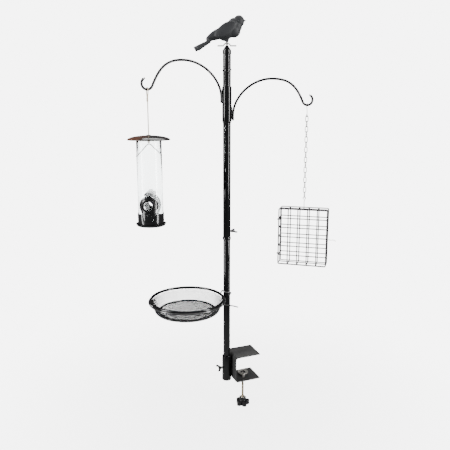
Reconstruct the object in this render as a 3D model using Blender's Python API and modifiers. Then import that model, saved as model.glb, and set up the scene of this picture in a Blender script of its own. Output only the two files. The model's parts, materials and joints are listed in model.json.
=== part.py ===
"""Clamp-on bird feeding station: a pole held in a rail clamp, with two arms that carry a tube feeder
and a suet cage, a mesh tray on the pole and a bird figure on top.

Metres, +Z up. The origin is on the underside of the clamp's upper jaw, on the clamp screw's axis.
+X is the way the jaws reach, and the pole stands behind them, at POLE_X.
"""

import math

import bmesh
import bpy
from mathutils import Matrix, Vector

GAP = 0.0003  # left between two pieces that rest on each other

# Clamp
JAW_GAP = 0.0685  # clear height between the jaws
JAW_WIDTH = 0.064
JAW_REACH = 0.0745  # from the back plate's outer face to the jaw's tip
PLATE = 0.003
BEND_R = 0.009  # outer radius of the bracket's bends
SCREW_REACH = 0.0365  # from the back plate's outer face to the screw's axis
SCREW_D = 0.006
THREAD_CLEARANCE = 0.0003
NUT_ACROSS = 0.013
NUT_HEIGHT = 0.005
DISC_D = 0.030
DISC_T = 0.002
DISC_CUP_DEPTH = 0.0032
DISC_LIFT = 0.0095  # the disc's face above the lower jaw with the clamp open
KNOB_DROP = 0.065  # from the lower jaw's underside to the top of the knob's insert
KNOB_D = 0.039
KNOB_HUB_D = 0.020
KNOB_LOBES = 5
KNOB_T = 0.012
KNOB_HUB_H = 0.009
INSERT_D = 0.013
INSERT_H = 0.0016

# Socket tube and pole
SOCKET_CLEARANCE = 0.0012  # round the pole, taken up by the wing screw
SOCKET_WALL = 0.0022
SOCKET_LENGTH = 0.071
SOCKET_DEPTH = 0.067  # how far the pole goes in
LOWER_D = 0.0186
UPPER_D = 0.0200
POLE_WALL = 0.0010
SPIGOT_CLEARANCE = 0.0003
SPIGOT_LENGTH = 0.045
JOINT_Z = 0.3316  # where the lower and the upper section meet
TOP_JOINT_Z = 0.7405
SHOULDER_Z = 0.8110
COLLAR_D = 0.0222
COLLAR_H = 0.0075
COLLAR_CLEARANCE = 0.0004
BUTTON_D = 0.006
BUTTON_PROUD = 0.0018
SNAP_Z = 0.2707

# Wing screws
WING_SHANK_D = 0.005
WING_HUB_D = 0.0085
WING_HUB_H = 0.008
WING_SPAN = 0.0225
WING_T = 0.0028
WING_H = 0.011
WING_STANDOFF = 0.0035
SOCKET_SCREW_Z = -0.034
JOINT_SCREW_Z = 0.3538
TOP_SCREW_Z = 0.7624
TOP_SCREW_YAW = -112.0  # degrees about the pole, from +X

# Cap, wing nut and bird
CAP_D = 0.0214
CAP_SKIRT = 0.008
CAP_CONE_H = 0.0115
CAP_TIP_D = 0.0066
STUD_D = 0.005
STUD_IN_CAP = 0.016
NUT_SPAN = 0.0465
NUT_STRIP = 0.0024
NUT_STRIP_W = 0.0085
NUT_ARCH_W = 0.0185
NUT_ARCH_H = 0.0065
NUT_RISE = -0.0020  # the wings' underside above the cap's tip
BIRD_YAW = -22.0
BIRD_LENGTH = 0.128
LEG_D = 0.008

# Arms
SLEEVE_D = 0.0240
SLEEVE_LENGTH = 0.0428
SLEEVE_GAP = 0.0004
LOWER_SLEEVE_Z = 0.6385
STOP_BEAD = 0.0014  # how far the pole's rolled stop stands out
ROD_D = 0.0055
ARM_REACH = 0.2094  # from the pole's axis to the hook's lowest point
ARM_CROWN = 0.1156  # from the pole's axis to the crown
LEFT_RISE = 0.0990  # from the rod's lower end to the arch's crown
LEFT_DROP = 0.0700  # from the crown to the hook's lowest point
RIGHT_RISE = 0.1040
RIGHT_DROP = 0.0650
ARM_END = 0.0025  # the rod's end above the sleeve's end
HOOK_R = 0.0134
HOOK_TURN = 250.0  # degrees from straight left round to the tip
WELD_GAP = 0.0008
LEFT_ARM_YAW = 185.8
RIGHT_ARM_YAW = -13.5

# Tube feeder, below the left arm's hook
CORD_D = 0.0025
CORD_LOOP_DROP = 0.016
LOOP_R = 0.0051
CORD_LENGTH_TO_ROOF = 0.1036
ROOF_D = 0.102
ROOF_H = 0.0125
ROOF_T = 0.0012
ROOF_HOLE_D = 0.006
TUBE_D = 0.060
TUBE_WALL = 0.0016
TUBE_LENGTH = 0.199
TUBE_UNDER_ROOF = 0.0012
BAIL_D = 0.0022
BAIL_DROP = 0.022
BAIL_PROUD = 0.003
BAIL_BELOW_TOP = 0.013
KNOT_H = 0.0072
PORT_D = 0.046
PORT_HOLE_D = 0.0226
PORT_T = 0.0024
PORT_RIM = 0.0065
PORT_BELOW_TOP = 0.152
PORT_TAIL = 0.038
PORT_TAIL_W = 0.018
PORT_YAW = -114.0
BAFFLE_W = 0.021
BAFFLE_H = 0.0075
BASE_CUP_H = 0.0256
BASE_FLOOR = 0.003
BASE_WALL = 0.0015
SAUCER_PROUD = 0.007  # how far the saucer's edge stands out past the tube
SAUCER_LIP = 0.0035
SAUCER_T = 0.002
FIT = 0.0004

# Chain and suet cage, below the right arm's hook
CHAIN_WIRE = 0.0017
LINK_LENGTH = 0.0169
LINK_WIDTH = 0.0085
CHAIN_LINKS = 16
TOP_HOOK_LENGTH = 0.030
LOW_HOOK_LENGTH = 0.0345
HOOK_EYE = 0.0034
CAGE_EYE = 0.0032
CAGE_W = 0.128
CAGE_H = 0.152
CAGE_DEPTH = 0.038
CAGE_WIRE = 0.0025
CAGE_COLUMNS = 5
CAGE_ROWS = 6
CAGE_YAW = -38.0
DOOR_GAP = 0.0007
LATCH_LENGTH = 0.022

# Tray
HOOP_STANDOFF = 0.0012  # from the pole to the hoop
HOOP_D = 0.200  # at the wire's centre
HOOP_WIRE = 0.004
HOOP_Z = 0.1766
RIM_D = 0.192
RIM_WIRE = 0.006
BASE_D = 0.172
BASE_WIRE = 0.0040
TRAY_DEPTH = 0.0335
MESH_T = 0.0008
CLIP_WIRE = 0.0034
CLIP_WELD_TURN = 11.0  # degrees round the hoop from the pole to where the clip is welded on
CLIP_TAIL = 0.031
# the spiral clip: degrees about the pole, and height above the hoop
CLIP_TURNS = ((180, 0.0135), (215, 0.0125), (250, 0.0110), (285, 0.0096), (320, 0.0080), (360, 0.0030),
              (400, -0.0040), (440, -0.0105), (480, -0.0165), (510, -0.0200), (540, -0.0225),
              (575, -0.0240), (610, -0.0250))

# Worked out from the above
SOCKET_D = LOWER_D + 2 * (SOCKET_CLEARANCE + SOCKET_WALL)
TRAY_OFFSET = (LOWER_D + HOOP_WIRE + HOOP_D) / 2 + HOOP_STANDOFF  # from the pole's axis to the tray's centre
PLATE_X = -SCREW_REACH  # the back plate's outer face
POLE_X = PLATE_X - GAP - SOCKET_D / 2
JAW_Z = -JAW_GAP  # the lower jaw's upper face
SOCKET_BOTTOM = JAW_Z - PLATE
POLE_BOTTOM = SOCKET_BOTTOM + SOCKET_LENGTH - SOCKET_DEPTH
DISC_Z = JAW_Z + DISC_LIFT
INSERT_Z = JAW_Z - PLATE - KNOB_DROP
UPPER_SLEEVE_Z = LOWER_SLEEVE_Z + SLEEVE_LENGTH + SLEEVE_GAP
SAUCER_D = TUBE_D + 2 * SAUCER_PROUD
TUBE_STEPS = 20
ROUND_STEPS = 28
RING_POINTS = 40

BLACK = ((0.012, 0.012, 0.013), 0.25, 0.0)
SATIN = ((0.05, 0.05, 0.05), 0.45, 0.3)
STEEL = ((0.62, 0.60, 0.56), 0.28, 1.0)
ZINC = ((0.62, 0.62, 0.60), 0.40, 0.9)
CHARCOAL = ((0.022, 0.023, 0.026), 0.70, 0.0)
CLEAR = ((0.85, 0.88, 0.88), 0.08, 0.0)
PLASTIC = ((0.015, 0.015, 0.016), 0.35, 0.0)
CORD = ((0.60, 0.52, 0.42), 0.90, 0.0)
MESH = ((0.35, 0.36, 0.37), 0.50, 0.6)
DARK_WIRE = ((0.05, 0.05, 0.05), 0.40, 0.6)


# ---------------------------------------------------------------- helpers

def start():
    """Clear the scene and make the collections for the parts and the cutters."""
    for o in list(bpy.data.objects):
        bpy.data.objects.remove(o, do_unlink=True)
    for name in ("bird_feeding_station", "cutters"):
        group = bpy.data.collections.new(name)
        bpy.context.scene.collection.children.link(group)


def material(look):
    """One Principled material for each look, made the first time that it is asked for."""
    colour, roughness, metallic = look
    name = "look_%.3f_%.3f_%.3f_%.2f" % (*colour, roughness)
    found = bpy.data.materials.get(name)
    if found:
        return found
    made = bpy.data.materials.new(name)
    made.use_nodes = True
    shader = made.node_tree.nodes["Principled BSDF"]
    shader.inputs["Base Color"].default_value = (*colour, 1.0)
    shader.inputs["Roughness"].default_value = roughness
    shader.inputs["Metallic"].default_value = metallic
    return made


def add(name, data, look, at=(0, 0, 0), turn=None, group="bird_feeding_station"):
    """A new object in its collection, at a place and with a turn (a 3x3 matrix)."""
    o = bpy.data.objects.new(name, data)
    bpy.data.collections[group].objects.link(o)
    o.matrix_world = Matrix.Translation(at) @ (turn.to_4x4() if turn else Matrix())
    if look:
        data.materials.append(material(look))
    return o


def yaw(degrees):
    return Matrix.Rotation(math.radians(degrees), 3, "Z")


def facing(direction, up=(0, 0, 1)):
    """The turn that takes +Z to a direction, with +X as near as it can be to up."""
    z = Vector(direction).normalized()
    y = z.cross(Vector(up)).normalized()
    return Matrix((y.cross(z), y, z)).transposed()


def around(degrees, radius, z=0.0):
    """A point at an angle and radius about the pole's axis."""
    a = math.radians(degrees)
    return Vector((POLE_X + radius * math.cos(a), radius * math.sin(a), z))


def turned(name, outline, look, at=(0, 0, 0), turn=None, steps=TUBE_STEPS, loop=False,
           group="bird_feeding_station"):
    """A turned piece: its outline of (radius, height) points runs down the outer side."""
    mesh = bpy.data.meshes.new(name)
    edges = [(i, i + 1) for i in range(len(outline) - 1)]
    if loop:
        edges.append((len(outline) - 1, 0))
    mesh.from_pydata([(r, 0, z) for r, z in outline], edges, [])
    o = add(name, mesh, look, at, turn, group)
    screw = o.modifiers.new("turn", "SCREW")
    screw.steps = screw.render_steps = steps
    screw.use_merge_vertices = True
    screw.merge_threshold = 0.00001
    screw.use_smooth_shade = True
    return o


def pipe(name, radius, inner, bottom, top, look, at=(0, 0, 0), turn=None, steps=TUBE_STEPS,
         group="bird_feeding_station"):
    outline = [(radius, top), (radius, bottom), (inner, bottom), (inner, top)]
    return turned(name, outline, look, at, turn, steps, True, group)


def rod(name, radius, bottom, top, look, at=(0, 0, 0), turn=None, steps=TUBE_STEPS,
        group="bird_feeding_station"):
    outline = [(0, top), (radius, top), (radius, bottom), (0, bottom)]
    return turned(name, outline, look, at, turn, steps, False, group)


def wire(name, points, diameter, look, closed=False, sides=8, at=(0, 0, 0), turn=None):
    """A round wire along a list of points."""
    curve = bpy.data.curves.new(name, "CURVE")
    curve.dimensions = "3D"
    curve.bevel_depth = diameter / 2
    curve.bevel_resolution = (sides - 4) // 2
    curve.use_fill_caps = not closed
    line = curve.splines.new("POLY")
    line.points.add(len(points) - 1)
    for p, co in zip(line.points, points):
        p.co = (*co, 1)
    line.use_cyclic_u = closed
    line.use_smooth = True
    return add(name, curve, look, at, turn)


def sheet(name, outline, thickness, look, at=(0, 0, 0), turn=None, group="bird_feeding_station"):
    """A flat outline given half its thickness to each side."""
    curve = bpy.data.curves.new(name, "CURVE")
    curve.dimensions = "2D"
    curve.fill_mode = "BOTH"
    curve.extrude = thickness / 2
    line = curve.splines.new("POLY")
    line.points.add(len(outline) - 1)
    for p, (x, y) in zip(line.points, outline):
        p.co = (x, y, 0, 1)
    line.use_cyclic_u = True
    return add(name, curve, look, at, turn, group)


def meshed(o):
    """The same object as a mesh, with a curve's caps welded on."""
    bpy.context.view_layer.update()
    mesh = bpy.data.meshes.new_from_object(o.evaluated_get(bpy.context.evaluated_depsgraph_get()))
    work = bmesh.new()
    work.from_mesh(mesh)
    bmesh.ops.remove_doubles(work, verts=work.verts, dist=0.00001)
    bmesh.ops.recalc_face_normals(work, faces=work.faces)
    work.to_mesh(mesh)
    work.free()
    new = bpy.data.objects.new(o.name + "_mesh", mesh)
    o.users_collection[0].objects.link(new)
    new.matrix_world = o.matrix_world
    name, old = o.name, o.data
    bpy.data.objects.remove(o)
    if isinstance(old, bpy.types.Curve):
        bpy.data.curves.remove(old)
    new.name = name
    return new


def boolean(o, tool, operation):
    """Join or cut with another object, which becomes a hidden helper."""
    step = o.modifiers.new(operation.lower(), "BOOLEAN")
    step.operation = operation
    step.object = tool
    tool.hide_render = True
    tool.display_type = "WIRE"
    for group in list(tool.users_collection):
        group.objects.unlink(tool)
    bpy.data.collections["cutters"].objects.link(tool)


def arc(cx, cy, radius, start, end, steps):
    """Points along an arc, both ends included, angles in degrees."""
    angles = [math.radians(start + (end - start) * i / steps) for i in range(steps + 1)]
    return [(cx + radius * math.cos(a), cy + radius * math.sin(a)) for a in angles]


def bezier(a, b, c, d, steps):
    """Points along a cubic curve, without its last point."""
    out = []
    for i in range(steps):
        t = i / steps
        s = 1 - t
        out.append(Vector(a) * s ** 3 + Vector(b) * 3 * s * s * t + Vector(c) * 3 * s * t * t
                   + Vector(d) * t ** 3)
    return out


def smooth(points, steps):
    """Points along a smooth curve through chosen points."""
    p = [Vector(v) for v in points]
    p = [p[0] * 2 - p[1]] + p + [p[-1] * 2 - p[-2]]
    out = []
    for a, b, c, d in zip(p, p[1:], p[2:], p[3:]):
        for i in range(steps):
            t = i / steps
            out.append(0.5 * (2 * b + (c - a) * t + (2 * a - 5 * b + 4 * c - d) * t * t
                              + (3 * b - a - 3 * c + d) * t ** 3))
    return out + [p[-2]]


def loft(name, sections, look, at=(0, 0, 0), turn=None):
    """A closed skin over sections of equal point counts."""
    work = bmesh.new()
    rings = [[work.verts.new(v) for v in ring] for ring in sections]
    for a, b in zip(rings, rings[1:]):
        for i in range(len(a)):
            j = (i + 1) % len(a)
            work.faces.new((a[i], a[j], b[j], b[i]))
    work.faces.new(rings[0][::-1])
    work.faces.new(rings[-1])
    bmesh.ops.recalc_face_normals(work, faces=work.faces)
    for face in work.faces:
        face.smooth = True
    mesh = bpy.data.meshes.new(name)
    work.to_mesh(mesh)
    work.free()
    return add(name, mesh, look, at, turn)


# ---------------------------------------------------------------- clamp

def clamp_bracket():
    """The bent plate: upper jaw, back plate and lower jaw, with the screw's hole."""
    r, t = BEND_R, PLATE
    back, tip = PLATE_X, PLATE_X + JAW_REACH
    top, bottom = t, JAW_Z - t
    outline = [(tip, top)] + arc(back + r, top - r, r, 90, 180, 6)
    outline += arc(back + r, bottom + r, r, 180, 270, 6) + [(tip, bottom), (tip, JAW_Z)]
    outline += arc(back + r, bottom + r, r - t, 270, 180, 6)
    outline += arc(back + r, top - r, r - t, 180, 90, 6) + [(tip, 0.0)]
    stand = Matrix.Rotation(math.radians(90), 3, "X")
    bracket = meshed(sheet("clamp_bracket", outline, JAW_WIDTH, SATIN, turn=stand))
    hole = rod("screw_hole", SCREW_D / 2 + THREAD_CLEARANCE, JAW_Z - 2 * t, JAW_Z + t, None,
               group="cutters")
    boolean(bracket, hole, "DIFFERENCE")


def clamp_socket():
    """The tube that takes the pole, with a hole for its wing screw."""
    socket = pipe("clamp_socket", SOCKET_D / 2, SOCKET_D / 2 - SOCKET_WALL, SOCKET_BOTTOM,
                  SOCKET_BOTTOM + SOCKET_LENGTH, BLACK, at=(POLE_X, 0, 0))
    hole = rod("socket_hole", WING_SHANK_D / 2 + THREAD_CLEARANCE, 0, SOCKET_D, None,
               at=(POLE_X, 0, SOCKET_SCREW_Z), turn=facing((-1, 0, 0)), group="cutters")
    boolean(socket, hole, "DIFFERENCE")


def clamp_nut():
    """The hexagon nut welded on the lower jaw."""
    r = NUT_ACROSS / 2 / math.cos(math.radians(30))
    nut = rod("clamp_nut", r, JAW_Z + GAP, JAW_Z + GAP + NUT_HEIGHT, STEEL, steps=6)
    bore = rod("nut_bore", SCREW_D / 2 + THREAD_CLEARANCE, JAW_Z - PLATE, JAW_Z + 2 * NUT_HEIGHT, None,
               group="cutters")
    boolean(nut, bore, "DIFFERENCE")


def pressure_disc():
    """The pressed steel cup that swivels on the screw's end."""
    r, cup = DISC_D / 2, DISC_D * 0.28
    top, low = DISC_Z, DISC_Z - DISC_CUP_DEPTH
    outline = [(0, low + DISC_T), (cup - 0.001, low + DISC_T), (cup + 0.0006, top), (r, top),
               (r, top - DISC_T), (cup + 0.0016, top - DISC_T), (cup, low), (0, low)]
    turned("pressure_disc", outline, STEEL, steps=ROUND_STEPS)


def clamp_screw():
    top = DISC_Z - DISC_CUP_DEPTH - GAP
    rod("clamp_screw", SCREW_D / 2, INSERT_Z - KNOB_HUB_H, top, STEEL, steps=16)


def clamp_knob():
    """The star knob: lobes round a hub, with a blind hole for the screw and its insert."""
    bottom = INSERT_Z - INSERT_H - GAP - KNOB_HUB_H - KNOB_T
    lobe_r = KNOB_D * 0.17
    outline = []
    for i in range(KNOB_LOBES):
        middle = 360 * i / KNOB_LOBES - 90
        cx = (KNOB_D / 2 - lobe_r) * math.cos(math.radians(middle))
        cy = (KNOB_D / 2 - lobe_r) * math.sin(math.radians(middle))
        outline += arc(cx, cy, lobe_r, middle - 75, middle + 75, 5)
        dip = math.radians(middle + 180 / KNOB_LOBES)
        outline.append((KNOB_D * 0.31 * math.cos(dip), KNOB_D * 0.31 * math.sin(dip)))
    knob = meshed(sheet("clamp_knob", outline, KNOB_T, PLASTIC, at=(0, 0, bottom + KNOB_T / 2)))
    hub = rod("knob_hub", KNOB_HUB_D / 2, bottom + KNOB_T / 2, bottom + KNOB_T + KNOB_HUB_H, None)
    boolean(knob, hub, "UNION")
    bore = rod("knob_bore", SCREW_D / 2 + GAP, INSERT_Z - KNOB_HUB_H - GAP, INSERT_Z + PLATE, None,
               group="cutters")
    boolean(knob, bore, "DIFFERENCE")
    pipe("knob_insert", INSERT_D / 2, SCREW_D / 2 + GAP, INSERT_Z - INSERT_H, INSERT_Z, STEEL)


def wing_screw(name, direction, at, reach, wing_up):
    """A cast wing screw: shank and hub along direction from a point, wings along wing_up.

    reach is from the shank's tip to the hub's outer end.
    """
    turn = facing(direction, wing_up)
    hub, shank = WING_HUB_D / 2, WING_SHANK_D / 2
    outline = [(0, reach), (hub * 0.7, reach), (hub, reach - WING_HUB_H), (shank, reach - WING_HUB_H),
               (shank, 0), (0, 0)]
    body = turned(name, outline, ZINC, at, turn, steps=16)
    base, s = reach - WING_HUB_H * 0.8, WING_SPAN / 2
    half = [(0, base), (s * 0.45, base + WING_H * 0.1), (s * 0.9, base + WING_H * 0.45),
            (s, base + WING_H * 0.75), (s * 0.92, base + WING_H), (s * 0.7, base + WING_H * 0.98),
            (s * 0.4, base + WING_H * 0.62), (0, base + WING_H * 0.5)]
    wings = half + [(-x, y) for x, y in half[-2:0:-1]]
    lie = turn @ Matrix.Rotation(math.radians(90), 3, "X")
    boolean(body, meshed(sheet(name + "_wings", wings, WING_T, None, at=at, turn=lie)), "UNION")


def wing_screws():
    """The three wing screws that lock the pole in the socket and its sections together."""
    inner = LOWER_D / 2 + GAP
    wing_screw("socket_wing_screw", (-1, 0, 0), around(180, inner, SOCKET_SCREW_Z),
               SOCKET_D / 2 - inner + WING_STANDOFF + WING_HUB_H, (0, 1, 0.45))
    spigot = UPPER_D / 2 - POLE_WALL - SPIGOT_CLEARANCE
    wing_screw("joint_wing_screw", (1, 0, 0), around(0, spigot + GAP, JOINT_SCREW_Z),
               UPPER_D / 2 - spigot + WING_STANDOFF + WING_HUB_H, (0, 1, 0.2))
    out = around(TOP_SCREW_YAW, 1) - around(0, 0)
    wing_screw("top_wing_screw", out, around(TOP_SCREW_YAW, spigot + GAP, TOP_SCREW_Z),
               UPPER_D / 2 - spigot + WING_STANDOFF + WING_HUB_H, out.cross((0, 0.3, 1)))


# ---------------------------------------------------------------- pole

def drill(piece, direction, z, diameter):
    """A round hole through one wall of a tube on the pole's axis."""
    hole = rod(piece.name + "_hole_%d" % round(z * 1000), diameter / 2, 0, SOCKET_D, None,
               at=(POLE_X, 0, z), turn=facing(direction), group="cutters")
    boolean(piece, hole, "DIFFERENCE")


def pole():
    """Three tube sections: each has a reduced spigot that enters the one above or below it."""
    spigot = UPPER_D / 2 - POLE_WALL - SPIGOT_CLEARANCE
    low = LOWER_D / 2
    at = (POLE_X, 0, 0)
    top, inner = JOINT_Z + SPIGOT_LENGTH, spigot - POLE_WALL
    outline = [(spigot, top), (spigot, JOINT_Z + 0.001), (low, JOINT_Z - 0.003), (low, POLE_BOTTOM),
               (low - POLE_WALL, POLE_BOTTOM), (low - POLE_WALL, JOINT_Z - 0.006),
               (inner, JOINT_Z - 0.002), (inner, top)]
    lower = turned("lower_pole", outline, BLACK, at, loop=True)
    drill(lower, (math.cos(math.radians(-90)), math.sin(math.radians(-90)), 0), SNAP_Z, BUTTON_D + 2 * GAP)
    r, inner = UPPER_D / 2, UPPER_D / 2 - POLE_WALL
    stop, half = LOWER_SLEEVE_Z - GAP - STOP_BEAD * 1.2, STOP_BEAD * 1.2
    outline = [(r, TOP_JOINT_Z), (r, stop + half), (r + STOP_BEAD, stop), (r, stop - half),
               (r, JOINT_Z + COLLAR_H / 2), (inner, JOINT_Z + COLLAR_H / 2), (inner, stop - half),
               (inner + STOP_BEAD / 2, stop), (inner, stop + half), (inner, TOP_JOINT_Z)]
    upper = turned("upper_pole", outline, BLACK, at, loop=True)
    drill(upper, (1, 0, 0), JOINT_SCREW_Z, WING_SHANK_D + 2 * THREAD_CLEARANCE)
    bottom = TOP_JOINT_Z - SPIGOT_LENGTH
    outline = [(r, SHOULDER_Z - GAP), (r, TOP_JOINT_Z + GAP), (spigot, TOP_JOINT_Z + GAP),
               (spigot, bottom), (spigot - POLE_WALL, bottom), (spigot - POLE_WALL, TOP_JOINT_Z + 0.002),
               (inner, TOP_JOINT_Z + 0.004), (inner, SHOULDER_Z - GAP)]
    upper_end = turned("top_pole", outline, BLACK, at, loop=True)
    out = around(TOP_SCREW_YAW, 1) - around(0, 0)
    drill(upper_end, out, TOP_SCREW_Z, WING_SHANK_D + 2 * THREAD_CLEARANCE)


def pole_fittings():
    """The rolled collar at the joint and the spring button in the lower section."""
    r = COLLAR_D / 2
    bore = UPPER_D / 2 + COLLAR_CLEARANCE
    z, h = JOINT_Z + COLLAR_H / 2, COLLAR_H / 2
    outline = [(r, z + h * 0.6), (r, z - h * 0.6), (r - 0.0006, z - h), (bore, z - h), (bore, z + h),
               (r - 0.0006, z + h)]
    turned("joint_collar", outline, BLACK, (POLE_X, 0, 0), loop=True)
    tip, root = LOWER_D / 2 + BUTTON_PROUD, LOWER_D / 2 - POLE_WALL - 0.002
    outline = [(0, tip), (BUTTON_D * 0.35, tip), (BUTTON_D / 2, tip - 0.001), (BUTTON_D / 2, root),
               (0, root)]
    turned("snap_button", outline, STEEL, (POLE_X, 0, SNAP_Z), facing((0, -1, 0)), steps=16)


# ---------------------------------------------------------------- top

def pole_cap():
    """The cap: a skirt over the tube's end and a cone with a blind hole for the stud."""
    r, tip = CAP_D / 2, SHOULDER_Z + CAP_CONE_H
    bore, stud = UPPER_D / 2 + FIT, STUD_D / 2 + GAP
    outline = [(stud, tip), (CAP_TIP_D / 2, tip), (r, SHOULDER_Z), (r, SHOULDER_Z - CAP_SKIRT),
               (bore, SHOULDER_Z - CAP_SKIRT), (bore, SHOULDER_Z), (stud + 0.003, SHOULDER_Z),
               (stud + 0.003, SHOULDER_Z - STUD_IN_CAP + CAP_CONE_H),
               (stud, SHOULDER_Z - STUD_IN_CAP + CAP_CONE_H)]
    turned("pole_cap", outline, BLACK, (POLE_X, 0, 0), loop=True)


def bird_wing_nut():
    """A pressed wing nut: a strip with flat wings and an arch that the stud passes."""
    t, arch = NUT_STRIP, NUT_ARCH_W / 2
    z = SHOULDER_Z + CAP_CONE_H + NUT_RISE
    wing = NUT_SPAN / 2
    upper = [(-wing, t), (-arch, t)]
    for i in range(1, 12):
        a = math.pi * i / 12
        upper.append((-arch * math.cos(a), t + NUT_ARCH_H * math.sin(a) ** 1.4))
    upper += [(arch, t), (wing, t)]
    lower = [(wing, 0), (arch - t * 0.3, 0)]
    for i in range(11, 0, -1):
        a = math.pi * i / 12
        lower.append((-(arch - t * 0.7) * math.cos(a), NUT_ARCH_H * math.sin(a) ** 1.4))
    lower += [(-arch + t * 0.3, 0), (-wing, 0)]
    stand = yaw(BIRD_YAW) @ Matrix.Rotation(math.radians(90), 3, "X")
    nut = meshed(sheet("bird_wing_nut", upper + lower, NUT_STRIP_W, ZINC, (POLE_X, 0, z), stand))
    hole = rod("nut_hole", STUD_D / 2 + GAP, z - t, z + NUT_ARCH_H + 3 * t, None, (POLE_X, 0, 0),
               group="cutters")
    boolean(nut, hole, "DIFFERENCE")


def bird():
    """The figure: a body and head skinned over oval sections, a flat tail and a short leg."""
    unit = BIRD_LENGTH / 128
    foot = SHOULDER_Z + CAP_CONE_H + NUT_RISE + NUT_STRIP + NUT_ARCH_H + GAP
    # along the body: distance ahead of the pole's axis, top, underside, half width (mm)
    outline = [(-47, 19.5, 10.0, 4.5), (-38, 25.0, 8.0, 8), (-28, 30.5, 7.6, 12), (-16, 37.5, 7.0, 15.5),
               (-4, 45.5, 6.0, 17.5), (8, 50.5, 6.4, 18), (19, 56.0, 10.5, 17), (26, 60.0, 18.0, 15),
               (32, 61.5, 26.0, 13.5), (38, 60.5, 37.0, 11.5), (43, 56.5, 43.5, 6.5), (48, 51.2, 48.4, 1.4)]
    rings = []
    for x, top, low, half in outline:
        middle, tall = (top + low) / 2, (top - low) / 2
        rings.append([(x * unit, half * unit * math.cos(math.tau * i / 12),
                       (middle + tall * math.sin(math.tau * i / 12)) * unit) for i in range(12)])
    at = (POLE_X, 0, foot)
    body = loft("bird_figure", rings, CHARCOAL, at, yaw(BIRD_YAW))
    tail = []
    for x, z, tall, half in ((-80, -16.5, 3.8, 7), (-72, -10.5, 2.8, 5.5), (-60, -1.5, 2.6, 4.5),
                             (-44, 10, 3.4, 5.5), (-30, 17, 4.0, 6)):
        tail.append([(x * unit, half * unit * math.cos(math.tau * (i + 0.5) / 8),
                      (z + tall * math.sin(math.tau * (i + 0.5) / 8)) * unit) for i in range(8)])
    boolean(body, loft("bird_tail", tail, None, at, yaw(BIRD_YAW)), "UNION")
    boolean(body, rod("bird_leg", LEG_D / 2, 0, 20 * unit, None, at, steps=12), "UNION")
    rod("bird_stud", STUD_D / 2, SHOULDER_Z - STUD_IN_CAP + CAP_CONE_H, foot - GAP, STEEL,
        (POLE_X, 0, 0), steps=12)


# ---------------------------------------------------------------- arms

def arm_path(rise, drop):
    """The rod's centre line in its own plane: distance from the pole's axis and height above its end."""
    start = SLEEVE_D / 2 + WELD_GAP + ROD_D / 2
    crown = (ARM_CROWN, rise)
    hook = Vector((ARM_REACH, rise - drop + HOOK_R))
    enter = math.radians(204)
    join = hook + HOOK_R * Vector((math.cos(enter), math.sin(enter)))
    back = Vector((math.sin(enter), -math.cos(enter)))
    points = [(start, 0.0)]
    points += bezier((start, 0.012), (start, rise * 0.58), (ARM_CROWN - 0.052, rise), crown, 9)
    points += bezier(crown, (ARM_CROWN + 0.045, rise), join + back * 0.045, join, 9)
    points += arc(hook.x, hook.y, HOOK_R, 204, 180 + HOOK_TURN, 11)
    return [Vector(p) for p in points]


def arm(side, angle, sleeve_z, rise, drop):
    """A sleeve that turns on the pole and the bent rod welded beside it."""
    bore = UPPER_D / 2 + FIT
    pipe(side + "_sleeve", SLEEVE_D / 2, bore, sleeve_z, sleeve_z + SLEEVE_LENGTH, BLACK,
         (POLE_X, 0, 0))
    points = [(p.x, 0, p.y) for p in arm_path(rise, drop)]
    meshed(wire(side + "_hook", points, ROD_D, BLACK, at=(POLE_X, 0, sleeve_z + ARM_END),
                turn=yaw(angle)))


def hook_point(angle, sleeve_z, rise, drop):
    """The rod's centre at the hook's lowest point."""
    return around(angle, ARM_REACH, sleeve_z + ARM_END + rise - drop)


# ---------------------------------------------------------------- tube feeder

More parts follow.
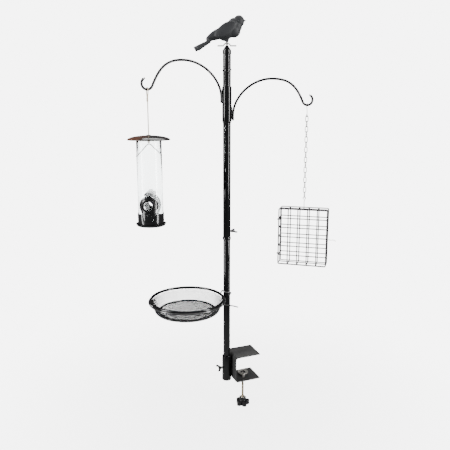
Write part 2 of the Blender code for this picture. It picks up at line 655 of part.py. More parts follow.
def feeder():
    """The tube feeder: everything hangs from the cord below the left arm's hook."""
    hang = hook_point(LEFT_ARM_YAW, UPPER_SLEEVE_Z, LEFT_RISE, LEFT_DROP)
    roof_top = hang.z - CORD_LENGTH_TO_ROOF
    rim = roof_top - ROOF_H
    tube_top = rim - TUBE_UNDER_ROOF
    tube_bottom = tube_top - TUBE_LENGTH
    centre = Vector((hang.x, hang.y, 0))

    r, t = ROOF_D / 2, ROOF_T
    outer = [(ROOF_HOLE_D / 2, roof_top)]
    for i in range(1, 6):
        a = math.pi / 2 * i / 6
        outer.append((r * math.sin(a), rim + t + (ROOF_H - t) * math.cos(a) ** 1.15))
    outer += [(r, rim + t), (r, rim)]
    inner = [(x - t * 0.6 if x > r * 0.5 else x, z - t) for x, z in outer[-3::-1]]
    turned("feeder_roof", outer + inner, SATIN, centre, steps=ROUND_STEPS, loop=True)

    tube = pipe("feeder_tube", TUBE_D / 2, TUBE_D / 2 - TUBE_WALL, tube_bottom, tube_top, CLEAR,
                centre, steps=ROUND_STEPS)
    port_z = tube_top - PORT_BELOW_TOP
    for name, angle in (("front_port", PORT_YAW), ("back_port", PORT_YAW + 180)):
        out = around(angle, 1) - around(0, 0)
        opening = rod(name + "_opening", PORT_HOLE_D / 2, TUBE_D / 4, TUBE_D, None,
                      centre + Vector((0, 0, port_z)), facing(out), group="cutters")
        boolean(tube, opening, "DIFFERENCE")
        port(name, out, centre, port_z)

    # the bail crosses inside the tube's top and rises to the knot
    bail_z = tube_top - BAIL_BELOW_TOP
    side = TUBE_D / 2 - TUBE_WALL - 2 * FIT - BAIL_D / 2
    half = [(TUBE_D / 2 + BAIL_PROUD, 0, -BAIL_DROP), (TUBE_D / 2 - TUBE_WALL, 0, -BAIL_DROP),
            (side - 0.0015, 0, -BAIL_DROP + 0.0035), (side * 0.55, 0, -0.010), (0.004, 0, -0.0005)]
    across = rod("bail_holes", BAIL_D / 2 + FIT, -TUBE_D, TUBE_D, None,
                 centre + Vector((0, 0, bail_z - BAIL_DROP)), facing(yaw(LEFT_ARM_YAW) @ Vector((1, 0, 0))),
                 steps=12, group="cutters")
    boolean(tube, across, "DIFFERENCE")
    points = smooth(half + [(-x, y, z) for x, y, z in half[::-1]], 3)
    meshed(wire("feeder_bail", points, BAIL_D, BLACK, sides=6, at=centre + Vector((0, 0, bail_z)),
                turn=yaw(LEFT_ARM_YAW)))

    # the cord: a doubled loop over the hook, then down through the roof to the bail
    rest = ROD_D / 2 + CORD_D / 2 + GAP
    loop_low = -CORD_LOOP_DROP
    knot_z = bail_z + BAIL_D / 2 + KNOT_H / 2 + 2 * GAP
    end = knot_z + KNOT_H / 2 + GAP - hang.z
    across = yaw(LEFT_ARM_YAW + 90)
    path = [(0.0, 0, end), (0.0, 0, (end + loop_low) / 2), (0.0, 0, loop_low - 0.014),
            (0.0016, 0, loop_low), (LOOP_R * 0.99, 0, -0.006)]
    path += [(x, 0, z) for x, z in arc(0, rest - LOOP_R, LOOP_R, 10, 170, 4)]
    path += [(-LOOP_R * 0.99, 0, -0.006), (-0.0030, 0, loop_low), (-0.0032, 0, loop_low - 0.012)]
    meshed(wire("feeder_cord", smooth(path, 2), CORD_D, CORD, at=hang, turn=across))
    h = KNOT_H / 2
    knot = [(0, h), (h * 0.83, h * 0.6), (h * 1.05, 0), (h * 0.83, -h * 0.6), (0, -h)]
    turned("feeder_knot", knot, CORD, Vector((hang.x, hang.y, knot_z)), steps=12)

    base(centre, tube_bottom, port_z)
    baffle = [(-BAFFLE_W / 2, 0), (BAFFLE_W / 2, 0), (BAFFLE_W / 2, BAFFLE_H * 0.55),
              (BAFFLE_W * 0.3, BAFFLE_H), (-BAFFLE_W * 0.3, BAFFLE_H), (-BAFFLE_W / 2, BAFFLE_H * 0.55)]
    lie = yaw(PORT_YAW + 90) @ Matrix.Rotation(math.radians(90), 3, "X")
    clear = 2 * math.sqrt((TUBE_D / 2 - TUBE_WALL - FIT) ** 2 - (BAFFLE_W / 2) ** 2)
    meshed(sheet("seed_baffle", baffle, clear, PLASTIC,
                 centre + Vector((0, 0, port_z + PORT_HOLE_D / 2 + 0.012)), lie))


def port_blank(name, out, centre, z, spare, look, group="bird_feeding_station"):
    """A thick upright slab of the port's tear shape, grown by spare, across one side of the tube."""
    tail = PORT_TAIL_W / 2 + spare
    outline = arc(0, 0, PORT_D / 2 + spare, -35, 215, 14)
    outline += [(-tail, -PORT_TAIL - spare), (tail, -PORT_TAIL - spare)]
    upright = Matrix((Vector((0, 0, 1)).cross(out), (0, 0, 1), out)).transposed()
    place = centre + Vector((0, 0, z)) + out * (TUBE_D / 2)
    return meshed(sheet(name, outline, TUBE_D * 0.9, look, place, upright, group))


def port(name, out, centre, z):
    """A seed port: a tear-shaped saddle on the tube, a raised rim and the hole through it."""
    face = TUBE_D / 2 + GAP
    piece = port_blank(name, out, centre, z, 0, PLASTIC)
    shell = pipe(name + "_shell", face + PORT_T, face, z - PORT_D * 2, z + PORT_D * 2, None, centre,
                 steps=40, group="cutters")
    boolean(piece, shell, "INTERSECT")
    rim = PORT_HOLE_D / 2 + 0.0034
    ring = rod(name + "_rim", rim, TUBE_D / 2 - PORT_T, face + PORT_RIM, None,
               centre + Vector((0, 0, z)), facing(out), steps=28)
    boolean(piece, ring, "UNION")
    perch = wire(name + "_perch", [(0, 0, 0), (0, 0, 0.026)], 0.006, None, sides=12,
                 at=centre + Vector((0, 0, z - PORT_HOLE_D / 2 - 0.009)) + out * (face + PORT_T / 2),
                 turn=facing(out))
    boolean(piece, meshed(perch), "UNION")
    core = rod(name + "_core", face, z - PORT_D * 2, z + PORT_D * 2, None, centre, steps=40,
               group="cutters")
    boolean(piece, core, "DIFFERENCE")
    hole = rod(name + "_bore", PORT_HOLE_D / 2, TUBE_D / 4, TUBE_D, None,
               centre + Vector((0, 0, z)), facing(out), steps=28, group="cutters")
    boolean(piece, hole, "DIFFERENCE")


def base(centre, tube_bottom, port_z):
    """The base: a cup round the tube's foot, notched for the ports, and a shallow saucer below."""
    r, cup = TUBE_D / 2 + GAP, TUBE_D / 2 + GAP + BASE_WALL
    floor = tube_bottom - GAP
    low, top = floor - BASE_FLOOR, floor + BASE_CUP_H
    outline = [(0, floor), (r, floor), (r, top), (cup, top), (cup, low), (0, low)]
    body = turned("feeder_base", outline, PLASTIC, centre, steps=ROUND_STEPS)
    for angle in (PORT_YAW, PORT_YAW + 180):
        out = around(angle, 1) - around(0, 0)
        boolean(body, port_blank("base_notch", out, centre, port_z, FIT, None, "cutters"), "DIFFERENCE")
    s, low = SAUCER_D / 2, low - GAP
    outline = [(0, low), (s * 0.88, low), (s - 0.001, low + SAUCER_LIP), (s, low + SAUCER_LIP),
               (s * 0.9, low - SAUCER_T), (0, low - SAUCER_T)]
    turned("feeder_saucer", outline, PLASTIC, centre, steps=ROUND_STEPS)


# ---------------------------------------------------------------- chain and cage

def link_points(length, width, diameter):
    """The centre line of an oval link."""
    w, half = (width - diameter) / 2, (length - diameter) / 2
    straight = half - w
    points = arc(0, straight, w, 0, 180, 5) + arc(0, -straight, w, 180, 360, 5)
    return [(x, 0, z) for x, z in points]


def chain():
    """A wire hook, oval links that cross by turns and a lower hook, hung from the right arm."""
    hang = hook_point(RIGHT_ARM_YAW, LOWER_SLEEVE_Z, RIGHT_RISE, RIGHT_DROP)
    d = CHAIN_WIRE
    seat = ROD_D / 2 + d / 2 + GAP
    eye = HOOK_EYE
    low = -TOP_HOOK_LENGTH
    path = [(x, 0, z) for x, z in arc(0, 0, seat, 205, -20, 8)]
    path += [(seat * 0.7, 0, -0.007), (0.0, 0, -0.013), (0.0, 0, low + 2 * eye + 0.003)]
    path += [(x, 0, z) for x, z in arc(0, low + eye, eye, 75, -235, 9)]
    across = yaw(RIGHT_ARM_YAW + 90)
    meshed(wire("chain_hook", path, d, STEEL, sides=6, at=hang, turn=across))
    turn_by = RIGHT_ARM_YAW
    bottom = hang.z + low
    pitch = LINK_LENGTH - 2 * d - GAP
    points = link_points(LINK_LENGTH, LINK_WIDTH, d)
    # each link's upper end sits on the lower end of the one above it
    upper_inside = bottom + d + GAP
    middle = upper_inside + d / 2 - (LINK_LENGTH - d) / 2
    for i in range(CHAIN_LINKS):
        meshed(wire("chain_link_%02d" % (i + 1), points, d, STEEL, True, 6,
                    (hang.x, hang.y, middle - i * pitch), yaw(turn_by + 90 * (i % 2))))
    last = middle - (CHAIN_LINKS - 1) * pitch - (LINK_LENGTH - d) / 2
    return cage_hook(hang, last)


def cage_hook(hang, last):
    """The straight wire between the last link and the cage's top: an eye above and a hook below."""
    d = CHAIN_WIRE
    top = last + d + GAP - HOOK_EYE
    low = top - LOW_HOOK_LENGTH + HOOK_EYE
    link_turn = yaw(RIGHT_ARM_YAW + 90 * (CHAIN_LINKS % 2))
    cage_turn = yaw(CAGE_YAW + 90)
    path = [link_turn @ Vector((x, 0, z)) for x, z in arc(0, top, HOOK_EYE, 255, -55, 9)]
    path += [Vector((0, 0, top - 2 * HOOK_EYE - 0.002)), Vector((0, 0, low + 3 * CAGE_EYE))]
    path += [cage_turn @ Vector((x, 0, z)) for x, z in arc(0, low + CAGE_EYE, CAGE_EYE, 60, -210, 8)]
    meshed(wire("cage_hook", path, d, STEEL, sides=6, at=(hang.x, hang.y, 0)))
    return Vector((hang.x, hang.y, low + (d + CAGE_WIRE) / 2 + 2 * GAP))


def grid(columns, rows, width, height):
    """A flat grid of square faces in the XZ plane, as a bmesh."""
    work = bmesh.new()
    bmesh.ops.create_grid(work, x_segments=columns, y_segments=rows, size=0.5)
    for v in work.verts:
        v.co = Vector((v.co.x * width, 0, v.co.y * height))
    return work


def wired(name, work, look, at, turn):
    """A cage piece: every edge of a coarse mesh becomes a wire."""
    mesh = bpy.data.meshes.new(name)
    work.to_mesh(mesh)
    work.free()
    o = add(name, mesh, look, at, turn)
    frame = o.modifiers.new("wires", "WIREFRAME")
    frame.thickness = CAGE_WIRE
    frame.use_boundary = True
    frame.use_even_offset = True
    frame.use_replace = True
    return o


def cage(hanger):
    """The suet cage: a five-sided wire basket, a hinged front and a latch."""
    centre = hanger - Vector((0, 0, CAGE_H / 2))
    turn = yaw(CAGE_YAW)
    work = bmesh.new()
    bmesh.ops.create_cube(work, size=1.0)
    bmesh.ops.scale(work, vec=(CAGE_W, CAGE_DEPTH, CAGE_H), verts=work.verts)
    for axis, count, length in ((0, CAGE_COLUMNS, CAGE_W), (1, 2, CAGE_DEPTH), (2, CAGE_ROWS, CAGE_H)):
        for i in range(1, count):
            point, normal = Vector((0, 0, 0)), Vector((0, 0, 0))
            point[axis] = length * (i / count - 0.5)
            normal[axis] = 1
            everything = work.verts[:] + work.edges[:] + work.faces[:]
            bmesh.ops.bisect_plane(work, geom=everything, plane_co=point, plane_no=normal)
    front = [f for f in work.faces if f.normal.y < -0.9]
    bmesh.ops.delete(work, geom=front, context="FACES")
    wired("cage_basket", work, DARK_WIRE, centre, turn)
    work = grid(CAGE_COLUMNS, CAGE_ROWS, CAGE_W, CAGE_H)
    front_at = centre + turn @ Vector((0, -CAGE_DEPTH / 2 - CAGE_WIRE - DOOR_GAP, 0))
    wired("cage_door", work, DARK_WIRE, front_at, turn)
    edge = front_at + turn @ Vector((CAGE_W / 2 + CAGE_WIRE + 2 * GAP, 0, 0))
    path = smooth([(-0.0035, 0.004, 0.001), (0, 0.004, 0.0), (0.0035, 0.001, 0.0), (0.008, -0.001, 0.001),
                   (0.014, 0, 0.0005), (LATCH_LENGTH - 0.003, 0, -0.003)], 3)
    path = [(x + 0.004, y - 0.0065, z) for x, y, z in path]
    meshed(wire("cage_latch", path, CHAIN_WIRE, STEEL, sides=6, at=edge, turn=turn))


# ---------------------------------------------------------------- tray

def tray():
    """The hoop with its spiral clip on the pole, and the mesh tray that sits in it."""
    centre = (POLE_X - TRAY_OFFSET, 0, 0)
    r = HOOP_D / 2
    hoop = [(x, y, HOOP_Z) for x, y in arc(0, 0, r, 0, 360, RING_POINTS)[:-1]]
    wire("tray_hoop", hoop, HOOP_WIRE, BLACK, True, at=centre)
    rest = (HOOP_WIRE + RIM_WIRE) / 2 + GAP
    side = (HOOP_D - RIM_D) / 2
    rim_z = HOOP_Z + math.sqrt(rest ** 2 - side ** 2)
    rim = [(x, y, rim_z) for x, y in arc(0, 0, RIM_D / 2, 0, 360, RING_POINTS)[:-1]]
    wire("tray_rim", rim, RIM_WIRE, BLACK, True, at=centre)
    top, floor = rim_z - RIM_WIRE / 2 - GAP, rim_z - TRAY_DEPTH
    outer, inner = RIM_D / 2 - 0.0012, BASE_D / 2
    corner = 0.010
    wall = [(outer, top)]
    wall += [(x, z) for x, z in arc(inner - corner + 0.003, floor + corner, corner, -8, -90, 4)]
    wall += [(0, floor)]
    skin = [(max(x - MESH_T, 0.0), z + (MESH_T if i > 1 else 0)) for i, (x, z) in enumerate(wall)]
    turned("tray_mesh", skin[::-1] + wall, MESH, centre, steps=RING_POINTS)
    ring_z = floor + MESH_T + BASE_WIRE / 2 + GAP
    ring_r = inner - corner - BASE_WIRE / 2
    ring = [(x, y, ring_z) for x, y in arc(0, 0, ring_r, 0, 360, RING_POINTS)[:-1]]
    wire("tray_base_ring", ring, BASE_WIRE, BLACK, True, 6, centre)
    clip()


def clip():
    """The spiral wire that twists onto the pole: from the hoop's outside round the front, and out below."""
    clear = LOWER_D / 2 + GAP + CLIP_WIRE / 2
    outside = (HOOP_D + HOOP_WIRE + CLIP_WIRE) / 2 + GAP
    turn = math.radians(CLIP_WELD_TURN)
    weld = Vector((POLE_X - TRAY_OFFSET + outside * math.cos(turn), outside * math.sin(turn), HOOP_Z))
    lead = weld.lerp(around(155, clear + 0.0012, HOOP_Z), 0.55)
    path = [weld, lead + Vector((0, 0, 0.007)), around(155, clear + 0.0012, HOOP_Z + 0.0125)]
    path += [around(angle, clear, HOOP_Z + rise) for angle, rise in CLIP_TURNS]
    along = around(-22, CLIP_TAIL) - around(0, 0)
    path += [path[-1] + along / 2 - Vector((0, 0, 0.002)), path[-1] + along - Vector((0, 0, 0.006))]
    meshed(wire("tray_clip", smooth(path, 2), CLIP_WIRE, BLACK, sides=6))


start()
clamp_bracket()
clamp_socket()
clamp_nut()
pressure_disc()
clamp_screw()
clamp_knob()
wing_screws()
pole()
pole_fittings()
pole_cap()
bird_wing_nut()
bird()
arm("left", LEFT_ARM_YAW, UPPER_SLEEVE_Z, LEFT_RISE, LEFT_DROP)
arm("right", RIGHT_ARM_YAW, LOWER_SLEEVE_Z, RIGHT_RISE, RIGHT_DROP)
feeder()
cage(chain())
tray()
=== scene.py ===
"""Looks of a clamp-on bird feeding station: finishes for its solids, and finely made pieces where a solid
is too plain, such as the woven tray, the wire cage, the chain, the bent arms, the cord and the bird.

Metres, +Z up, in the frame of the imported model: the origin is under the clamp's upper jaw.
"""

import json
import math

import bmesh
import bpy
from bpy.props import FloatProperty, FloatVectorProperty, IntProperty, PointerProperty
from mathutils import Matrix, Vector

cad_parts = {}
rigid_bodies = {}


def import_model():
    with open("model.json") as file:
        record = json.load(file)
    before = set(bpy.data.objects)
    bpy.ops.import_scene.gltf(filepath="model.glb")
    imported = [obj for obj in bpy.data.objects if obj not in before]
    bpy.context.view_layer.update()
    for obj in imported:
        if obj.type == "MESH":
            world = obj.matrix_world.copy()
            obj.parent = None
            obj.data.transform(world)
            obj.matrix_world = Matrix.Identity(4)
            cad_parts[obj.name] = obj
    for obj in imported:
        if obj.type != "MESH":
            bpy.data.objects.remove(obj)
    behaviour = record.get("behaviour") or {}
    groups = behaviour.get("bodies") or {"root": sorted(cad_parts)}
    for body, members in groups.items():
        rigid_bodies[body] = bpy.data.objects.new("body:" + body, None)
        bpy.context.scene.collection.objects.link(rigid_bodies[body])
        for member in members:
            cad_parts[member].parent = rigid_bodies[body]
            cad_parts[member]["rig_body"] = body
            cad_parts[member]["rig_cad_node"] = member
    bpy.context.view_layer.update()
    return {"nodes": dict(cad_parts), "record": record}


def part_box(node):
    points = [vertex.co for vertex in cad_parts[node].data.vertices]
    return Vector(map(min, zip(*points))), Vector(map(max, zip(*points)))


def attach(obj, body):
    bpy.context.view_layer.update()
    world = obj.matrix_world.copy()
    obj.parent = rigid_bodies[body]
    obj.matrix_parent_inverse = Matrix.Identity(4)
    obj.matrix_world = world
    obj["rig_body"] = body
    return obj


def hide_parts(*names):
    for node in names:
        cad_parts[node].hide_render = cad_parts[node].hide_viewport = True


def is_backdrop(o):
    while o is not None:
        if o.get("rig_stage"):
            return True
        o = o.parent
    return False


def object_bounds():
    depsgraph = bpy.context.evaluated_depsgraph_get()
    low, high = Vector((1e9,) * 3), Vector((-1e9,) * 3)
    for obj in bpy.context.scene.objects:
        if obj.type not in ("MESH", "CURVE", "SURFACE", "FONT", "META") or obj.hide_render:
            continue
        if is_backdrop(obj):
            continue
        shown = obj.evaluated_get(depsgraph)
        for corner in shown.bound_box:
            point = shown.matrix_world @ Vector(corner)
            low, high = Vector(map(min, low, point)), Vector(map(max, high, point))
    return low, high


bl_info = {
    "name": "Bird Feeding Station",
    "version": (1, 0, 0),
    "blender": (4, 5, 0),
    "location": "3D Viewport > Sidebar > Station",
    "description": "Finishes and fine pieces for a clamp-on pole with a tube feeder, a suet cage and a tray",
    "category": "Object",
}

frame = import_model()
NODES = frame["nodes"]
ROD_SEEN = 1.08  # the arms' rods and the cage's wires are drawn this much thicker than the solids
CAGE_SEEN = 1.12
TUBE_RADIUS = 0.0300
PORT_MIDDLE = 0.023  # from a port's top to the middle of its hole
BIRD_TURN = math.radians(-22.0)


# ---------------------------------------------------------------- settings

def length(name, description, default):
    return FloatProperty(name=name, description=description, default=default, min=0.0, precision=5,
                         subtype="DISTANCE", unit="LENGTH")


def angle(name, description, degrees):
    return FloatProperty(name=name, description=description, default=math.radians(degrees),
                         subtype="ANGLE", unit="ROTATION")


def colour(name, description, default):
    return FloatVectorProperty(name=name, description=description, default=default, size=3, min=0.0,
                               max=1.0, subtype="COLOR")


class StageSettings(bpy.types.PropertyGroup):
    """The camera, the floor and the lights."""

    target_height: length("Target height", "Height on the pole that the camera looks at", 0.371)
    distance: length("Camera distance", "From the camera to the pole at that height", 1.373)
    aside: length("Aim aside", "How far the pole stands to the right of the middle of the view", 0.00475)
    azimuth: angle("Azimuth", "How far the camera stands round to the left of the front", 22.0)
    pitch: angle("Pitch", "How far the camera looks down", 12.0)
    lens: FloatProperty(name="Lens", description="Focal length for a 36 mm wide sensor, in millimetres",
                        default=41.6, min=10.0)
    floor: colour("Floor", "Colour of the floor", (0.93, 0.93, 0.93))
    floor_reach: length("Floor reach", "From the pole to where the floor has faded away", 0.9)
    backdrop: FloatProperty(name="Backdrop strength", description="Brightness of the plain white behind all",
                            default=6.5, min=0.0)
    glow: FloatProperty(name="Glow strength", description="Strength of the soft light from all round",
                        default=0.10, min=0.0)


class FinishSettings(bpy.types.PropertyGroup):
    """Colours of the finishes."""

    black: colour("Gloss black", "Powder coat of the pole, the arms and the rings", (0.0045, 0.0045, 0.005))
    satin: colour("Satin black", "Paint of the clamp's bracket", (0.020, 0.020, 0.020))
    roof: colour("Roof", "Enamel of the feeder's roof", (0.012, 0.011, 0.010))
    copper: colour("Copper tint", "Warm tint on one side of the roof", (0.16, 0.055, 0.025))
    steel: colour("Bright steel", "Plated disc, nut, insert, stud and latch", (0.80, 0.78, 0.72))
    screw: colour("Screw", "Yellow passivated steel of the clamp's screw", (0.24, 0.20, 0.13))
    zinc: colour("Zinc", "Pressed wing nut under the bird", (0.55, 0.55, 0.53))
    charcoal: colour("Charcoal", "Moulded bird", (0.0065, 0.0073, 0.0088))
    plastic: colour("Black plastic", "Knob, ports, base and saucer", (0.006, 0.006, 0.0065))
    clear: colour("Clear plastic", "Feeder tube", (0.93, 0.95, 0.95))
    cord: colour("Cord", "Twisted natural fibre", (0.50, 0.41, 0.29))
    mesh: colour("Mesh", "Woven wire of the tray", (0.014, 0.0145, 0.015))
    cage: colour("Cage wire", "Coated wire of the suet cage", (0.009, 0.009, 0.0095))


class ArmSettings(bpy.types.PropertyGroup):
    """The two bent rods."""

    rod: length("Rod diameter", "Round steel rod", 0.0055)
    reach: length("Reach", "From the pole's axis to the hook's lowest point", 0.2094)
    left_rise: length("Left rise", "From the left rod's lower end to its crown", 0.0990)
    left_drop: length("Left drop", "From the left crown to the hook's lowest point", 0.0700)
    right_rise: length("Right rise", "From the right rod's lower end to its crown", 0.1040)
    right_drop: length("Right drop", "From the right crown to the hook's lowest point", 0.0650)
    crown: length("Crown", "From the pole's axis to the arch's crown", 0.1156)
    end: length("End height", "The rod's lower end above the sleeve's", 0.0025)
    hook_radius: length("Hook radius", "Centre line of the hook", 0.0134)
    hook_enter: angle("Hook start", "Where the hook's arc begins", 204.0)
    hook_leave: angle("Hook end", "Where the hook's arc ends", 430.0)
    weld_gap: length("Weld gap", "Between the sleeve and the rod", 0.0008)
    left_turn: angle("Left arm", "Which way the upper arm points", 185.8)
    right_turn: angle("Right arm", "Which way the lower arm points", -13.5)


class FeederSettings(bpy.types.PropertyGroup):
    """The tube feeder and its cord."""

    cord: length("Cord diameter", "Twisted cord", 0.0025)
    loop_radius: length("Loop radius", "Centre line of the cord's loop over the hook", 0.0051)
    loop_drop: length("Loop drop", "From the hook to where the loop closes", 0.016)
    strand_pitch: length("Strand pitch", "Length of one turn of the cord's strands", 0.0078)
    bail: length("Bail diameter", "Wire across the tube's top", 0.0022)
    bail_drop: length("Bail drop", "From the bail's top to its ends", 0.022)
    bail_proud: length("Bail proud", "How far its ends pass the tube", 0.003)
    wall: length("Tube wall", "Thickness of the clear tube", 0.0016)
    port_hole: length("Port hole", "Diameter of the feeding hole", 0.0226)
    port_turn: angle("Port direction", "Which way the front port faces", -114.0)


class CageSettings(bpy.types.PropertyGroup):
    """The chain and the suet cage."""

    wire: length("Cage wire", "Diameter of the cage's wires", 0.0025)
    chain_wire: length("Chain wire", "Diameter of the chain's wire", 0.0017)
    link: length("Link length", "Outside length of a link", 0.0169)
    link_width: length("Link width", "Outside width of a link", 0.0085)
    eye: length("Eye radius", "Centre line of the upper hook's eye", 0.0034)
    cage_eye: length("Lower eye radius", "Centre line of the eye on the cage", 0.0032)
    hook_length: length("Hook length", "Length of each wire hook", 0.030)
    width: length("Cage width", "Between the centres of the outer wires", 0.128)
    height: length("Cage height", "Between the centres of the outer wires", 0.152)
    depth: length("Cage depth", "Between the centres of the outer wires", 0.038)
    columns: IntProperty(name="Columns", description="Openings across the cage", default=5, min=1)
    rows: IntProperty(name="Rows", description="Openings down the cage", default=6, min=1)
    door_gap: length("Door gap", "Between the basket's front wires and the door", 0.0007)
    turn: angle("Cage direction", "How the cage hangs about its hook", -38.0)


class TraySettings(bpy.types.PropertyGroup):
    """The tray, its hoop and the spiral clip."""

    mesh_wire: length("Mesh wire", "Diameter of the woven wire", 0.00075)
    mesh_pitch: length("Mesh pitch", "Between neighbouring wires", 0.0024)
    hoop_wire: length("Hoop wire", "Diameter of the holder's wire", 0.004)
    rim_wire: length("Rim wire", "Diameter of the tray's rim", 0.0072)
    base_wire: length("Base wire", "Diameter of the inner ring", 0.0050)
    clip_wire: length("Clip wire", "Diameter of the spiral clip", 0.0034)
    clip_weld_turn: angle("Clip weld", "How far round the hoop the clip is welded on", 11.0)
    clip_tail: length("Clip tail", "Length of the clip's straight end", 0.031)


class ClampSettings(bpy.types.PropertyGroup):
    """The clamp's small parts."""

    edge: length("Plate edge", "Rounding of the bent plate's edges", 0.0005)
    thread: length("Thread depth", "Depth of the clamp screw's thread", 0.0005)
    thread_pitch: length("Thread pitch", "Rise of one turn of the thread", 0.001)
    knob_edge: length("Knob edge", "Rounding of the knob's edges", 0.0014)


def settings():
    return bpy.context.scene.station


class StationSettings(bpy.types.PropertyGroup):
    """All the settings of the station."""

    stage: PointerProperty(type=StageSettings)
    finish: PointerProperty(type=FinishSettings)
    arm: PointerProperty(type=ArmSettings)
    feeder: PointerProperty(type=FeederSettings)
    cage: PointerProperty(type=CageSettings)
    tray: PointerProperty(type=TraySettings)
    clamp: PointerProperty(type=ClampSettings)


# ---------------------------------------------------------------- places from the frame

def centre(node):
    low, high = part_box(node)
    return (low + high) / 2


def lowest(node):
    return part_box(node)[0].z


def highest(node):
    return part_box(node)[1].z


def across(node):
    low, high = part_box(node)
    return high.x - low.x


def pole_axis(z=0.0):
    middle = centre("lower_pole")
    return Vector((middle.x, middle.y, z))


def heading(turn):
    """A level direction, one long."""
    return Vector((math.cos(turn), math.sin(turn), 0))


def around(turn, radius, z=0.0):
    """A point at an angle and radius about the pole's axis."""
    return pole_axis(z) + radius * heading(turn)


def hook_point(side, turn, rise, drop):
    """A rod's centre at its hook's lowest point."""
    s = settings().arm
    return around(turn, s.reach, lowest(side + "_sleeve") + s.end + rise - drop)


def left_hook_point():
    s = settings().arm
    return hook_point("left", s.left_turn, s.left_rise, s.left_drop)


def right_hook_point():
    s = settings().arm
    return hook_point("right", s.right_turn, s.right_rise, s.right_drop)


# ---------------------------------------------------------------- modelling tools

def only(*pieces):
    """Select just these objects, with the first one active."""
    if bpy.context.object and bpy.context.object.mode != "OBJECT":
        bpy.ops.object.mode_set(mode="OBJECT")
    bpy.ops.object.select_all(action="DESELECT")
    for o in pieces:
        o.select_set(True)
    bpy.context.view_layer.objects.active = pieces[0]


def named(name):
    """The active object, given its name."""
    o = bpy.context.object
    o.name = o.data.name = name
    return o


def apply(o, kind, **values):
    """Add a modifier, set its values and apply it."""
    only(o)
    bpy.ops.object.modifier_add(type=kind)
    step = o.modifiers[-1]
    for key, value in values.items():
        setattr(step, key, value)
    bpy.ops.object.modifier_apply(modifier=step.name)
    return o


def settle(o, smooth=35.0, outwards=True):
    """Place and turn go into the mesh, doubles are merged and the faces point outwards."""
    only(o)
    bpy.ops.object.transform_apply(location=True, rotation=True, scale=True)
    bpy.ops.object.mode_set(mode="EDIT")
    bpy.ops.mesh.select_all(action="SELECT")
    bpy.ops.mesh.remove_doubles(threshold=0.000005)
    bpy.ops.mesh.dissolve_degenerate(threshold=0.000001)
    if outwards:
        bpy.ops.mesh.select_all(action="SELECT")
        bpy.ops.mesh.normals_make_consistent(inside=False)
    bpy.ops.object.mode_set(mode="OBJECT")
    bpy.ops.object.shade_smooth_by_angle(angle=math.radians(smooth))
    return o


def joined(name, pieces):
    """Several meshes as one object."""
    only(*pieces)
    if len(pieces) > 1:
        bpy.ops.object.join()
    return named(name)


def wire(name, points, diameter, sides=12, closed=False, radii=None, domed=True):
    """A round wire along a list of points, with rounded ends."""
    points = [Vector(p) for p in points]
    radii = list(radii) if radii else [1.0] * len(points)
    if domed and not closed:
        for last, before in ((0, 1), (-1, -2)):
            way = (points[last] - points[before]).normalized()
            tip = points[last].copy()
            rings = [(tip - way * diameter / 2 * (1 - math.sin(a)), max(math.cos(a), 0.03))
                     for a in (0.0, 0.5, 1.0, 1.35, math.pi / 2)]
            if last == 0:
                points[0:1] = [p for p, r in rings[::-1]]
                radii[0:1] = [r for p, r in rings[::-1]]
            else:
                points[-1:] = [p for p, r in rings]
                radii[-1:] = [r for p, r in rings]
    bpy.ops.object.select_all(action="DESELECT")
    bpy.ops.curve.primitive_nurbs_path_add(location=(0, 0, 0))
    o = named(name)
    curve = o.data
    curve.splines.clear()
    line = curve.splines.new("POLY")
    line.points.add(len(points) - 1)
    for p, co, r in zip(line.points, points, radii):
        p.co = (*co, 1)
        p.radius = r
    line.use_cyclic_u = closed
    line.use_smooth = True
    curve.twist_mode = "MINIMUM"
    curve.bevel_depth = diameter / 2
    curve.bevel_resolution = max((sides - 4) // 2, 0)
    curve.use_fill_caps = not closed
    only(o)
    bpy.ops.object.convert(target="MESH")
    return settle(named(name), 60.0)


def lathe(name, outline, at=(0, 0, 0), steps=64, smooth=35.0):
    """A turned piece: a closed outline of (radius, height) points, spun round the upright axis."""
    bpy.ops.object.select_all(action="DESELECT")
    bpy.ops.mesh.primitive_circle_add(vertices=len(outline), radius=1.0, location=(0, 0, 0))
    o = named(name)
    for v, (r, z) in zip(o.data.vertices, outline):
        v.co = (r, 0, z)
    bpy.ops.object.mode_set(mode="EDIT")
    bpy.ops.mesh.select_all(action="SELECT")
    bpy.ops.mesh.spin(steps=steps, angle=math.tau, center=(0, 0, 0), axis=(0, 0, 1))
    bpy.ops.mesh.select_all(action="SELECT")
    bpy.ops.mesh.remove_doubles(threshold=0.000002)
    bpy.ops.object.mode_set(mode="OBJECT")
    o.location = at
    return settle(o, smooth)


def rounded(outline, radius, steps=4):
    """A closed outline with its corners rounded, except on the axis."""
    out = []
    count = len(outline)
    for i, corner in enumerate(outline):
        here = Vector(corner)
        before, after = Vector(outline[i - 1]), Vector(outline[(i + 1) % count])
        if here.x < 1e-6:
            out.append(tuple(here))
            continue
        cut = min(radius, (before - here).length * 0.45, (after - here).length * 0.45)
        a, b = here + (before - here).normalized() * cut, here + (after - here).normalized() * cut
        for k in range(steps + 1):
            t = k / steps
            out.append(tuple(a * (1 - t) ** 2 + here * 2 * t * (1 - t) + b * t * t))
    return out


def cutter(radius, depth, at, direction, segments=48):
    """A round bar that cuts a hole."""
    turn = Vector(direction).to_track_quat("Z", "Y").to_euler()
    bpy.ops.object.select_all(action="DESELECT")
    bpy.ops.mesh.primitive_cylinder_add(vertices=segments, radius=radius, depth=depth,
                                        location=at, rotation=turn)
    return named("cutter")


def boolean(o, tool, operation="DIFFERENCE"):
    """Cut or join with another object, which then goes."""
    apply(o, "BOOLEAN", object=tool, operation=operation, solver="EXACT")
    bpy.data.objects.remove(tool)
    return o


